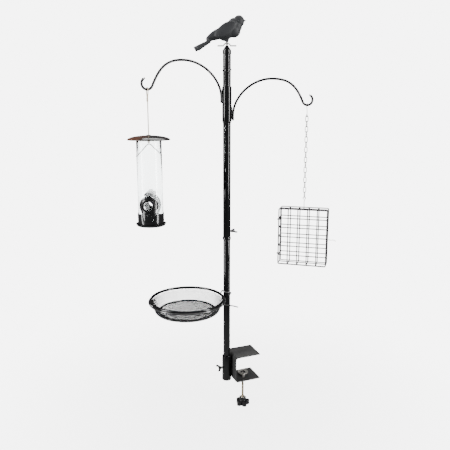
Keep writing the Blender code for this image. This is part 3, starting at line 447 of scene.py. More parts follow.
def softened(node, edge, segments, smooth):
    """A copy of a CAD node with its triangles merged and its edges rounded, to stand for it."""
    only(NODES[node])
    bpy.ops.object.duplicate()
    o = named(node + "_fine")
    o.parent = None
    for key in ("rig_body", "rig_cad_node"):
        del o[key]
    bpy.ops.object.mode_set(mode="EDIT")
    bpy.ops.mesh.select_all(action="SELECT")
    bpy.ops.mesh.remove_doubles(threshold=0.00001)
    bpy.ops.mesh.dissolve_limited(angle_limit=math.radians(2))
    bpy.ops.mesh.normals_make_consistent(inside=False)
    bpy.ops.object.mode_set(mode="OBJECT")
    apply(o, "BEVEL", width=edge, segments=segments, limit_method="ANGLE",
          angle_limit=math.radians(38), use_clamp_overlap=True, harden_normals=False)
    only(o)
    bpy.ops.object.shade_smooth_by_angle(angle=math.radians(smooth))
    return o


def finish(o, body, slot, material, *nodes):
    """Give a piece its material and the body it rides on, and hide the nodes it stands for. The slot is not
    used.
    """
    o.data.materials.clear()
    o.data.materials.append(material)
    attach(o, body)
    if nodes:
        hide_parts(*nodes)
    return o


def soften(node, body, slot, material, edge, segments=3, smooth=40.0):
    """Stand a rounded copy of a CAD node in its place."""
    return finish(softened(node, edge, segments, smooth), body, slot, material, node)


def coat(material, *nodes):
    """Give CAD nodes a material."""
    for node in nodes:
        o = NODES[node]
        o.data.materials.clear()
        o.data.materials.append(material)


def smooth_curve(points, steps):
    """Points along a smooth curve through chosen points."""
    p = [Vector(v) for v in points]
    p = [p[0] * 2 - p[1]] + p + [p[-1] * 2 - p[-2]]
    out = []
    for a, b, c, d in zip(p, p[1:], p[2:], p[3:]):
        for i in range(steps):
            t = i / steps
            out.append(0.5 * (2 * b + (c - a) * t + (2 * a - 5 * b + 4 * c - d) * t * t
                              + (3 * b - a - 3 * c + d) * t ** 3))
    return out + [p[-2]]


def cubic(a, b, c, d, steps):
    """Points along a cubic curve, without its last point."""
    out = []
    for i in range(steps):
        t = i / steps
        s = 1 - t
        out.append(Vector(a) * s ** 3 + Vector(b) * 3 * s * s * t + Vector(c) * 3 * s * t * t
                   + Vector(d) * t ** 3)
    return out


def arc(cx, cy, radius, start, end, steps):
    """Points along an arc, both ends included, angles in degrees."""
    turns = [math.radians(start + (end - start) * i / steps) for i in range(steps + 1)]
    return [(cx + radius * math.cos(a), cy + radius * math.sin(a)) for a in turns]


def upright(points):
    """Points of a plane, stood upright."""
    return [(x, 0, z) for x, z in points]


def placed(points, at, turn):
    """Points in an upright plane, turned about the upright axis and moved to a place."""
    spin = Matrix.Rotation(turn, 3, "Z")
    return [Vector(at) + spin @ Vector(p) for p in points]


# ---------------------------------------------------------------- shader effects

def group(name, inputs, outputs):
    """A new shader node group with float or colour inputs and outputs."""
    tree = bpy.data.node_groups.new(name, "ShaderNodeTree")
    for label, kind, default in inputs:
        socket = tree.interface.new_socket(label, in_out="INPUT", socket_type=kind)
        socket.default_value = default
    for label, kind in outputs:
        tree.interface.new_socket(label, in_out="OUTPUT", socket_type=kind)
    return tree, tree.nodes.new("NodeGroupInput"), tree.nodes.new("NodeGroupOutput")


def node(tree, kind, links=None, **values):
    """A node with its values set and its inputs linked. An input is given by name or number."""
    made = tree.nodes.new(kind)
    for key, value in values.items():
        setattr(made, key, value)
    for key, source in (links or {}).items():
        socket = made.inputs[key]
        if isinstance(source, bpy.types.NodeSocket):
            tree.links.new(source, socket)
        else:
            socket.default_value = source
    return made


def maths(tree, operation, a, b, clamp=False):
    """One sum in a node tree."""
    return node(tree, "ShaderNodeMath", {0: a, 1: b}, operation=operation, use_clamp=clamp).outputs[0]


def mapped(tree, value, start, end, low=0.0, high=1.0, **values):
    """A value carried from one range to another."""
    return node(tree, "ShaderNodeMapRange", {"Value": value, "From Min": start, "From Max": end,
                                             "To Min": low, "To Max": high}, **values).outputs[0]


def blended(tree, share, a, b):
    """Two colours mixed."""
    return node(tree, "ShaderNodeMix", {0: share, 6: a, 7: b}, data_type="RGBA").outputs[2]


def noise(tree, scale, detail, rough=0.5):
    """Noise in Object coordinates."""
    place = node(tree, "ShaderNodeTexCoord").outputs["Object"]
    return node(tree, "ShaderNodeTexNoise", {"Vector": place, "Scale": scale, "Detail": detail,
                                             "Roughness": rough}).outputs["Fac"]


def noise_group():
    """Mottle: a soft patchy mask and a fine height, from Object coordinates."""
    found = bpy.data.node_groups.get("mottle")
    if found:
        return found
    tree, inp, out = group(
        "mottle",
        [("Scale", "NodeSocketFloat", 60.0), ("Fine Scale", "NodeSocketFloat", 900.0),
         ("Contrast", "NodeSocketFloat", 0.5)],
        [("Mask", "NodeSocketFloat"), ("Height", "NodeSocketFloat")])
    centred = maths(tree, "SUBTRACT", noise(tree, inp.outputs["Scale"], 4.0, 0.6), 0.5)
    spread = maths(tree, "MULTIPLY", centred, inp.outputs["Contrast"])
    tree.links.new(maths(tree, "ADD", spread, 0.5, True), out.inputs["Mask"])
    tree.links.new(noise(tree, inp.outputs["Fine Scale"], 2.0), out.inputs["Height"])
    return tree


def wear_group():
    """Wear and dust: a mask of rubbed edges, and one of dust on what faces up."""
    found = bpy.data.node_groups.get("wear_and_dust")
    if found:
        return found
    tree, inp, out = group(
        "wear_and_dust",
        [("Wear", "NodeSocketFloat", 0.3), ("Dust", "NodeSocketFloat", 0.3)],
        [("Edge", "NodeSocketFloat"), ("Dust", "NodeSocketFloat")])
    shape = node(tree, "ShaderNodeNewGeometry")
    edge = mapped(tree, shape.outputs["Pointiness"], 0.52, 0.62)
    worn = maths(tree, "MULTIPLY", edge, noise(tree, 240.0, 5.0, 0.7))
    worn = maths(tree, "MULTIPLY", worn, inp.outputs["Wear"], True)
    tree.links.new(worn, out.inputs["Edge"])
    up = node(tree, "ShaderNodeSeparateXYZ", {0: shape.outputs["Normal"]})
    settled = maths(tree, "MULTIPLY", mapped(tree, up.outputs["Z"], 0.35, 1.0), noise(tree, 55.0, 6.0))
    settled = maths(tree, "MULTIPLY", settled, inp.outputs["Dust"], True)
    tree.links.new(settled, out.inputs["Dust"])
    return tree


def place_group(tree, group_tree, **values):
    """A node group placed in a material with its own values."""
    made = tree.nodes.new("ShaderNodeGroup")
    made.node_tree = group_tree
    for key, value in values.items():
        made.inputs[key.replace("_", " ")].default_value = value
    return made


def shade(colour_value, factor):
    """A colour made lighter or darker, as a colour socket's value."""
    return (*[min(c * factor, 1.0) for c in colour_value], 1.0)


def dent(tree, shader, mottle, deep):
    """A fine bump from a mottle's height."""
    bump = node(tree, "ShaderNodeBump", {"Height": mottle.outputs["Height"], "Distance": deep,
                                         "Strength": 1.0})
    tree.links.new(bump.outputs[0], shader.inputs["Normal"])


def surface(name, base, low_rough, high_rough, metallic=0.0, scale=60.0, fine=900.0, contrast=1.2,
            bump=0.00003, wear=0.3, dust=0.25, worn=None, dusty=(0.35, 0.33, 0.30), tint=1.6, **sockets):
    """A finish: mottled colour and roughness, a fine bump, rubbed edges and a little dust."""
    found = bpy.data.materials.get(name)
    if found:
        return found
    made = bpy.data.materials.new(name)
    made.use_nodes = True
    tree = made.node_tree
    shader = tree.nodes["Principled BSDF"]
    mottle = place_group(tree, noise_group(), Scale=scale, Fine_Scale=fine, Contrast=contrast)
    marks = place_group(tree, wear_group(), Wear=wear, Dust=dust)
    body = blended(tree, mottle.outputs["Mask"], shade(base, 1.0), shade(base, tint))
    bare = worn or [min(c * 3 + 0.05, 1) for c in base]
    rubbed = blended(tree, marks.outputs["Edge"], body, (*bare, 1.0))
    dulled = blended(tree, marks.outputs["Dust"], rubbed, (*dusty, 1.0))
    tree.links.new(dulled, shader.inputs["Base Color"])
    rough = mapped(tree, mottle.outputs["Mask"], 0.0, 1.0, low_rough, high_rough)
    rougher = node(tree, "ShaderNodeMath", {0: marks.outputs["Dust"], 1: 0.6, 2: rough},
                   operation="MULTIPLY_ADD", use_clamp=True)
    tree.links.new(rougher.outputs[0], shader.inputs["Roughness"])
    dent(tree, shader, mottle, bump)
    shader.inputs["Metallic"].default_value = metallic
    for key, value in sockets.items():
        shader.inputs[key.replace("_", " ")].default_value = value
    return made


# ---------------------------------------------------------------- finishes

def powder_coat():
    return surface("black_powder_coat", settings().finish.black, 0.10, 0.15, scale=35.0, fine=300.0,
                   bump=0.000002, wear=0.0, dust=0.0, tint=1.4, Specular_IOR_Level=0.4)


def bracket_paint():
    return surface("satin_black_paint", settings().finish.satin, 0.32, 0.44, scale=50.0, fine=1200.0,
                   bump=0.00002, wear=0.3, dust=0.01, worn=(0.10, 0.10, 0.10))


def roof_enamel():
    made = surface("roof_enamel", settings().finish.roof, 0.12, 0.22, scale=28.0, fine=500.0,
                   bump=0.00001, wear=0.2, dust=0.0, worn=(0.10, 0.05, 0.03), Coat_Weight=0.2,
                   Coat_Roughness=0.08)
    if "roof_side_tint" not in made.node_tree.nodes:
        tint_side(made, settings().finish.copper)
    return made


def tint_side(made, tint):
    """Let a warm tint come up on one side of the roof, patchily, and fade before its middle."""
    tree = made.node_tree
    shader = tree.nodes["Principled BSDF"]
    base = shader.inputs["Base Color"].links[0].from_socket
    middle = centre("feeder_roof")
    place = node(tree, "ShaderNodeTexCoord")
    away = node(tree, "ShaderNodeVectorMath", {0: place.outputs["Object"],
                                               1: (middle.x - 0.034, middle.y - 0.012, middle.z)},
                operation="DISTANCE")
    near = mapped(tree, away.outputs["Value"], 0.012, 0.036, 1.0, 0.0)
    mask = maths(tree, "MULTIPLY", near, noise(tree, 90.0, 4.0), True)
    mixed = node(tree, "ShaderNodeMix", {0: mask, 6: base, 7: shade(tint, 1.0)}, data_type="RGBA")
    # This node mixes a warm tint, patchily, into one side of the roof's colour.
    mixed.name = "roof_side_tint"
    tree.links.new(mixed.outputs[2], shader.inputs["Base Color"])


def bright_steel():
    return surface("bright_steel", settings().finish.steel, 0.22, 0.38, metallic=0.35, scale=160.0,
                   fine=2200.0, bump=0.00001, wear=0.1, dust=0.0, tint=0.72)


def passivated_steel():
    return surface("passivated_steel", settings().finish.screw, 0.26, 0.42, metallic=1.0, scale=190.0,
                   fine=1800.0, bump=0.00001, wear=0.1, dust=0.0, tint=0.7)


def zinc():
    return surface("dull_zinc", settings().finish.zinc, 0.32, 0.50, metallic=0.4, scale=210.0,
                   fine=1500.0, bump=0.00004, wear=0.2, dust=0.05, tint=0.75)


def bird_charcoal():
    return surface("moulded_charcoal", settings().finish.charcoal, 0.55, 0.75, scale=90.0, fine=650.0,
                   bump=0.00015, wear=0.2, dust=0.12, dusty=(0.06, 0.063, 0.07))


def black_plastic():
    return surface("black_moulding", settings().finish.plastic, 0.14, 0.24, scale=70.0, fine=900.0,
                   bump=0.00001, wear=0.1, dust=0.0, tint=1.4)


def chain_steel():
    return surface("chain_steel", (0.16, 0.155, 0.15), 0.22, 0.36, metallic=1.0, scale=160.0,
                   fine=900.0, bump=0.000005, wear=0.1, dust=0.0, tint=0.7)


def cage_coat():
    return surface("cage_coating", settings().finish.cage, 0.30, 0.52, scale=140.0, fine=800.0,
                   bump=0.0001, wear=0.4, dust=0.10)


def clip_coat():
    return surface("clip_coating", (0.075, 0.075, 0.076), 0.28, 0.42, metallic=0.7, scale=120.0,
                   fine=900.0, bump=0.00003, wear=0.3, dust=0.05)


def hoop_coat():
    return surface("hoop_coating", (0.020, 0.020, 0.021), 0.10, 0.18, metallic=0.0, scale=90.0,
                   fine=600.0, bump=0.000004, wear=0.0, dust=0.0, Coat_Weight=1.0, Coat_Roughness=0.05)


def mesh_wire():
    return surface("woven_wire", settings().finish.mesh, 0.35, 0.50, metallic=0.6, scale=60.0,
                   fine=1500.0, bump=0.00001, wear=0.2, dust=0.10)


def cord_fibre():
    return surface("cord_fibre", settings().finish.cord, 0.80, 0.95, scale=900.0, fine=5200.0,
                   contrast=2.2, bump=0.00018, wear=0.2, dust=0.0, worn=(0.62, 0.54, 0.42), tint=0.55,
                   Sheen_Weight=0.3)


def clear_plastic():
    """Clear moulded tube: plain transmission, with faint scuffs in its roughness."""
    found = bpy.data.materials.get("clear_tube")
    if found:
        return found
    made = bpy.data.materials.new("clear_tube")
    made.use_nodes = True
    tree = made.node_tree
    shader = tree.nodes["Principled BSDF"]
    shader.inputs["Base Color"].default_value = shade(settings().finish.clear, 1.0)
    shader.inputs["Transmission Weight"].default_value = 1.0
    shader.inputs["IOR"].default_value = 1.49
    mottle = place_group(tree, noise_group(), Scale=45.0, Fine_Scale=420.0, Contrast=1.6)
    rough = mapped(tree, mottle.outputs["Mask"], 0.0, 1.0, 0.0, 0.03)
    tree.links.new(rough, shader.inputs["Roughness"])
    dent(tree, shader, mottle, 0.000004)
    return made


# ---------------------------------------------------------------- operators

class StationStage(bpy.types.Operator):
    """Make the floor, the lights and the camera"""

    bl_idname = "station.stage"
    bl_label = "Stage"

    def execute(self, context):
        s = settings().stage
        self.floor(s)
        self.lights(context)
        self.camera(context, s)
        return {"FINISHED"}

    def floor(self, s):
        """A pale disc that fades away outwards, so that no edge or horizon shows."""
        bpy.ops.object.select_all(action="DESELECT")
        bpy.ops.mesh.primitive_circle_add(vertices=96, radius=s.floor_reach, fill_type="NGON",
                                          location=pole_axis(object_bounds()[0][2] - 0.0005))
        o = named("floor")
        bpy.ops.object.transform_apply(location=True)
        made = bpy.data.materials.new("pale_floor")
        made.use_nodes = True
        tree = made.node_tree
        shader = tree.nodes["Principled BSDF"]
        mottle = place_group(tree, noise_group(), Scale=3.0, Fine_Scale=60.0, Contrast=0.4)
        tone = blended(tree, mottle.outputs["Mask"], shade(s.floor, 1.0), shade(s.floor, 1.01))
        tree.links.new(tone, shader.inputs["Base Color"])
        place = node(tree, "ShaderNodeTexCoord")
        away = node(tree, "ShaderNodeVectorMath", {0: place.outputs["Object"],
                                                   1: pole_axis(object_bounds()[0][2])}, operation="DISTANCE")
        fade = mapped(tree, away.outputs["Value"], 0.1, s.floor_reach * 0.98, 0.3, 0.0,
                      interpolation_type="SMOOTHSTEP")
        tree.links.new(fade, shader.inputs["Alpha"])
        shader.inputs["Roughness"].default_value = 0.9
        shader.inputs["Specular IOR Level"].default_value = 0.1
        o.data.materials.append(made)
        o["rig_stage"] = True

    def lights(self, context):
        s = settings().stage
        world = bpy.data.worlds.new("plain_white")
        context.scene.world = world
        world.use_nodes = True
        tree = world.node_tree
        glow = tree.nodes["Background"]
        glow.inputs["Strength"].default_value = s.glow
        glow.inputs["Color"].default_value = (1.0, 1.0, 1.0, 1.0)
        backdrop = node(tree, "ShaderNodeBackground", {"Color": (1.0, 1.0, 1.0, 1.0), "Strength": s.backdrop})
        seen = node(tree, "ShaderNodeLightPath")
        through = maths(tree, "MAXIMUM", seen.outputs["Is Camera Ray"], seen.outputs["Is Transmission Ray"])
        either = node(tree, "ShaderNodeMixShader", {0: through, 1: glow.outputs[0],
                                                    2: backdrop.outputs[0]})
        tree.links.new(either.outputs[0], tree.nodes["World Output"].inputs["Surface"])
        target = pole_axis(0.40)
        # name, turn about the pole, distance, height, width, length, watts
        for name, turn, away, up, wide, tall, watts in (
                ("key_strip", -178.0, 1.5, 0.60, 0.42, 2.2, 62.0),
                ("fill_strip", -49.0, 1.5, 0.60, 0.24, 2.2, 60.0),
                ("top_box", 60.0, 0.8, 2.2, 1.6, 1.6, 42.0)):
            a = math.radians(turn)
            at = target + Vector((away * math.cos(a), away * math.sin(a), up - 0.25))
            bpy.ops.object.light_add(type="AREA", location=at)
            lamp = bpy.context.object
            lamp.name = lamp.data.name = name
            lamp.data.shape = "RECTANGLE"
            lamp.data.size, lamp.data.size_y = wide, tall
            lamp.data.energy = watts
            lamp.rotation_euler = (target - at).to_track_quat("-Z", "Y").to_euler()

    def camera(self, context, s):
        right = Vector((math.cos(s.azimuth), -math.sin(s.azimuth), 0))
        level = Vector((math.sin(s.azimuth), math.cos(s.azimuth), 0))
        ahead = level * math.cos(s.pitch) - Vector((0, 0, math.sin(s.pitch)))
        at = pole_axis(s.target_height) - ahead * s.distance - right * s.aside
        bpy.ops.object.camera_add(location=at, rotation=(math.pi / 2 - s.pitch, 0, -s.azimuth))
        camera = context.object
        camera.name = "camera"
        camera.data.sensor_width = 36.0
        camera.data.lens = s.lens
        context.scene.camera = camera


class StationPole(bpy.types.Operator):
    """Finish the pole's tubes, the cap, the spring button and the wing screws"""

    bl_idname = "station.pole"
    bl_label = "Pole"

    def execute(self, context):
        for name, body in (("lower_pole", "pole"), ("upper_pole", "pole"), ("top_pole", "pole"),
                           ("left_sleeve", "left_arm"), ("right_sleeve", "right_arm")):
            soften(name, body, "black_gloss", powder_coat(), 0.0003, 2)
        soften("joint_collar", "pole", "black_gloss", powder_coat(), 0.0006)
        soften("snap_button", "snap_button", "black_gloss", powder_coat(), 0.0006)
        for name, body in (("socket_wing_screw", "socket_screw"), ("joint_wing_screw", "joint_screw"),
                           ("top_wing_screw", "top_screw")):
            soften(name, body, "black_gloss", powder_coat(), 0.0005, 2)
        soften("pole_cap", "pole", "black_gloss", powder_coat(), 0.0008)
        return {"FINISHED"}


class StationClamp(bpy.types.Operator):
    """Make the clamp's bracket, socket, screw, disc, nut and star knob"""

    bl_idname = "station.clamp"
    bl_label = "Clamp"

    def execute(self, context):
        s = settings().clamp
        soften("clamp_bracket", "clamp", "black_satin", bracket_paint(), s.edge)
        soften("clamp_socket", "clamp", "black_gloss", powder_coat(), 0.0005)
        soften("clamp_nut", "clamp", "bright_steel", bright_steel(), 0.0005, 2)
        self.disc()
        soften("clamp_knob", "clamp_handle", "black_plastic", black_plastic(), s.knob_edge, 4)
        soften("knob_insert", "clamp_handle", "bright_steel", bright_steel(), 0.0004, 2)
        self.screw(s)
        self.welds()
        return {"FINISHED"}

    def disc(self):
        """A pressed cup: a flat bright ring round a well, a thin black sheet of painted shade laid in the
        well, and the screw's riveted end in it.
        """
        low, high = lowest("pressure_disc"), highest("pressure_disc")
        r = across("pressure_disc") / 2
        neck, t, well = 0.0052, 0.0012, 0.0074  # radius of the neck, the sheet, radius of the well
        cup = [(0, low), (neck, low), (neck, low + 0.0016), (well + t, high - 0.0026), (r, high - 0.0018),
               (r, high), (well, high), (neck * 0.8, high - 0.0032), (0, high - 0.0032)]
        finish(lathe("pressure_disc_cup", rounded(cup, 0.0005, 3), steps=72), "jaw", "bright_steel",
               bright_steel(), "pressure_disc")
        floor = high - 0.0031
        # A thin black sheet in the well: painted shade for the dark recess of the cup, not a coat on the
        # steel.
        painted_shade_outline = [(0, floor), (neck * 0.85, floor), (well * 0.96, high - 0.0005), (well * 0.96, high - 0.0002),
                 (neck * 0.8, floor + 0.0004), (0, floor + 0.0004)]
        finish(lathe("disc_well_painted_shade", painted_shade_outline, steps=48), "jaw", "black_satin", bracket_paint())
        rivet = [(0, floor), (0.0024, floor), (0.0022, high - 0.0012), (0, high - 0.0008)]
        end = lathe("screw_rivet", rounded(rivet, 0.0004, 3), steps=32)
        finish(end, "jaw", "bright_steel", bright_steel())

    def screw(self, s):
        """A round bar whose surface is moved in and out along a helix."""
        low, high = lowest("clamp_screw"), highest("clamp_screw")
        radius = across("clamp_screw") / 2
        rows = round((high - low) / s.thread_pitch * 5)
        side = [(radius, low + (high - low) * i / rows) for i in range(rows + 1)]
        bar = [(0.0, low)] + side + [(0.0, high)]
        o = lathe("clamp_screw_thread", bar, steps=24, smooth=70.0)
        for v in o.data.vertices:
            r = math.hypot(v.co.x, v.co.y)
            if r > radius * 0.9:
                turn = (v.co.z / s.thread_pitch - math.atan2(v.co.y, v.co.x) / math.tau) % 1.0
                deep = s.thread * abs(2 * turn - 1)
                v.co.x *= (r - deep) / r
                v.co.y *= (r - deep) / r
        finish(o, "clamp_handle", "bright_steel", passivated_steel(), "clamp_screw")

    def welds(self):
        """The two beads that hold the socket to the back plate."""
        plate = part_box("clamp_bracket")[0].x
        radius = across("clamp_socket") / 2
        foot, step, count = -0.058, 0.0009, 46
        beads = []
        for side in (-1, 1):
            points = [(plate - 0.0013, side * radius * 0.36, foot + step * i) for i in range(count)]
            radii = [1 + 0.14 * math.sin(i * 2.1) for i in range(count)]
            beads.append(wire("bead", points, 0.0030, 8, radii=radii))
        o = joined("socket_welds", beads)
        finish(o, "clamp", "black_gloss", powder_coat())


class StationArms(bpy.types.Operator):
    """Make the two bent rods with their hooks and the welds that hold them to their sleeves"""

    bl_idname = "station.arms"
    bl_label = "Arms"

    def execute(self, context):
        s = settings().arm
        self.arm("left", s.left_turn, s.left_rise, s.left_drop)
        self.arm("right", s.right_turn, s.right_rise, s.right_drop)
        return {"FINISHED"}

    def path(self, s, start, rise, drop):
        """The rod's centre line: distance from the pole's axis and height above its end."""
        crown = (s.crown, rise)
        hook = Vector((s.reach, rise - drop + s.hook_radius))
        join = hook + s.hook_radius * Vector((math.cos(s.hook_enter), math.sin(s.hook_enter)))
        back = Vector((math.sin(s.hook_enter), -math.cos(s.hook_enter)))
        points = [(start, 0.0), (start, 0.006)]
        points += cubic((start, 0.012), (start, rise * 0.58), (s.crown - 0.052, rise), crown, 26)
        points += cubic(crown, (s.crown + 0.045, rise), join + back * 0.045, join, 24)
        points += arc(hook.x, hook.y, s.hook_radius, math.degrees(s.hook_enter),
                      math.degrees(s.hook_leave), 26)
        return upright(points)

    def arm(self, side, turn, rise, drop):
        s = settings().arm
        sleeve = side + "_sleeve"
        start = across(sleeve) / 2 + s.weld_gap + s.rod / 2
        foot = lowest(sleeve) + s.end
        points = placed(self.path(s, start, rise, drop), pole_axis(foot), turn)
        rod = wire(side + "_rod", points, s.rod * ROD_SEEN, 16)
        finish(rod, side + "_arm", "black_gloss", powder_coat(), side + "_hook")
        tall = highest(sleeve) - lowest(sleeve) - 0.012
        count = 40
        beads = []
        for way in (-1, 1):
            spots = [(start - s.rod / 2 - 0.0002, way * 0.0017, 0.004 + tall * i / count)
                     for i in range(count + 1)]
            radii = [1 + 0.10 * math.sin(i * 1.9) for i in range(count + 1)]
            beads.append(wire("bead", placed(spots, pole_axis(foot), turn), 0.0019, 8, radii=radii))
        finish(joined(side + "_arm_welds", beads), side + "_arm", "black_gloss", powder_coat())


class StationTop(bpy.types.Operator):
    """Make the bird, the pressed wing nut and the stud"""

    bl_idname = "station.top"
    bl_label = "Bird and wing nut"

    def execute(self, context):
        soften("bird_wing_nut", "wing_nut", "zinc", zinc(), 0.0006, 3)
        coat(bright_steel(), "bird_stud")
        finish(self.bird(), "bird", "charcoal_plastic", bird_charcoal(), "bird_figure")
        return {"FINISHED"}

    def bird(self):
        """A body, wings, tail, beak and leg of rounded forms, fused and smoothed."""
        foot = highest("bird_wing_nut") + 0.0003
        forms = []
        # ahead, aside and up of the foot, half lengths, nose-up pitch in degrees (mm)
        for x, y, z, a, b, c, pitch in (
                (2, 0, 28.0, 31, 18.0, 19.0, -30), (16.5, 0, 27.5, 16.5, 16.0, 17.0, -50),
                (22.5, 0, 37.0, 14.5, 14.0, 14.5, -40),
                (-20, 0, 20.0, 28, 14.0, 12.5, -22), (17, 0, 42.0, 16, 15.0, 15.0, -35),
                (29, 0, 49.0, 13.5, 13.0, 14.3, 0), (-38, 0, 12.0, 15, 9.5, 8.5, -28),
                (-8, 0, 6.5, 9, 4.5, 3.5, 12)):
            forms.append(self.ball((x, y, z), (a, b, c), pitch))
        for side in (-1, 1):
            forms.append(self.ball((-4, side * 14.5, 28.0), (30, 5.2, 13.5), -32))
            forms.append(self.ball((-30, side * 11.0, 17.5), (20, 4.0, 7.5), -24))
        forms.append(self.tail())
        forms.append(self.beak())
        forms.append(self.ball((1, 0, 5.0), (3.6, 4.2, 8.0), 20))
        o = joined("bird_fine", forms)
        apply(o, "REMESH", mode="VOXEL", voxel_size=0.7, use_smooth_shade=True)
        apply(o, "SMOOTH", factor=0.5, iterations=22)
        o.scale = (0.001, 0.001, 0.001)
        o.rotation_euler = (0, 0, BIRD_TURN)
        o.location = pole_axis(foot)
        return settle(o, 60.0)

    def ball(self, at, halves, pitch):
        bpy.ops.object.select_all(action="DESELECT")
        bpy.ops.mesh.primitive_uv_sphere_add(segments=32, ring_count=20, radius=1.0, location=at)
        o = named("form")
        o.scale = halves
        o.rotation_euler = (0, math.radians(pitch), 0)
        bpy.ops.object.transform_apply(location=True, rotation=True, scale=True)
        return o

    def tail(self):
        """Long flat feathers in a fan, narrow at the root and thick at the end."""
        feathers = []
        for aside, length_mm, splay in ((0, 44, 0), (-3.0, 41, -4), (3.0, 41, 4), (-6, 36, -8), (6, 36, 8)):
            bpy.ops.object.select_all(action="DESELECT")
            bpy.ops.mesh.primitive_cone_add(vertices=20, radius1=6.6, radius2=3.2, depth=length_mm)
            o = named("form")
            o.scale = (1.0, 0.62, 1.0)
            o.location = (-60.5 + (44 - length_mm) / 2, aside * 0.9, -6.0 + abs(aside) * 0.12)
            o.rotation_euler = (0, math.radians(61.0), math.radians(splay))
            bpy.ops.object.transform_apply(location=True, rotation=True, scale=True)
            feathers.append(o)
        return joined("tail", feathers)

    def beak(self):
        bpy.ops.object.select_all(action="DESELECT")
        bpy.ops.mesh.primitive_cone_add(vertices=24, radius1=4.0, radius2=0.6, depth=9.5,
                                        location=(43.6, 0, 50.6))
        o = named("beak")
        o.scale = (0.8, 0.85, 1.0)
        o.rotation_euler = (0, math.radians(94.0), 0)
        bpy.ops.object.transform_apply(location=True, rotation=True, scale=True)
        return o


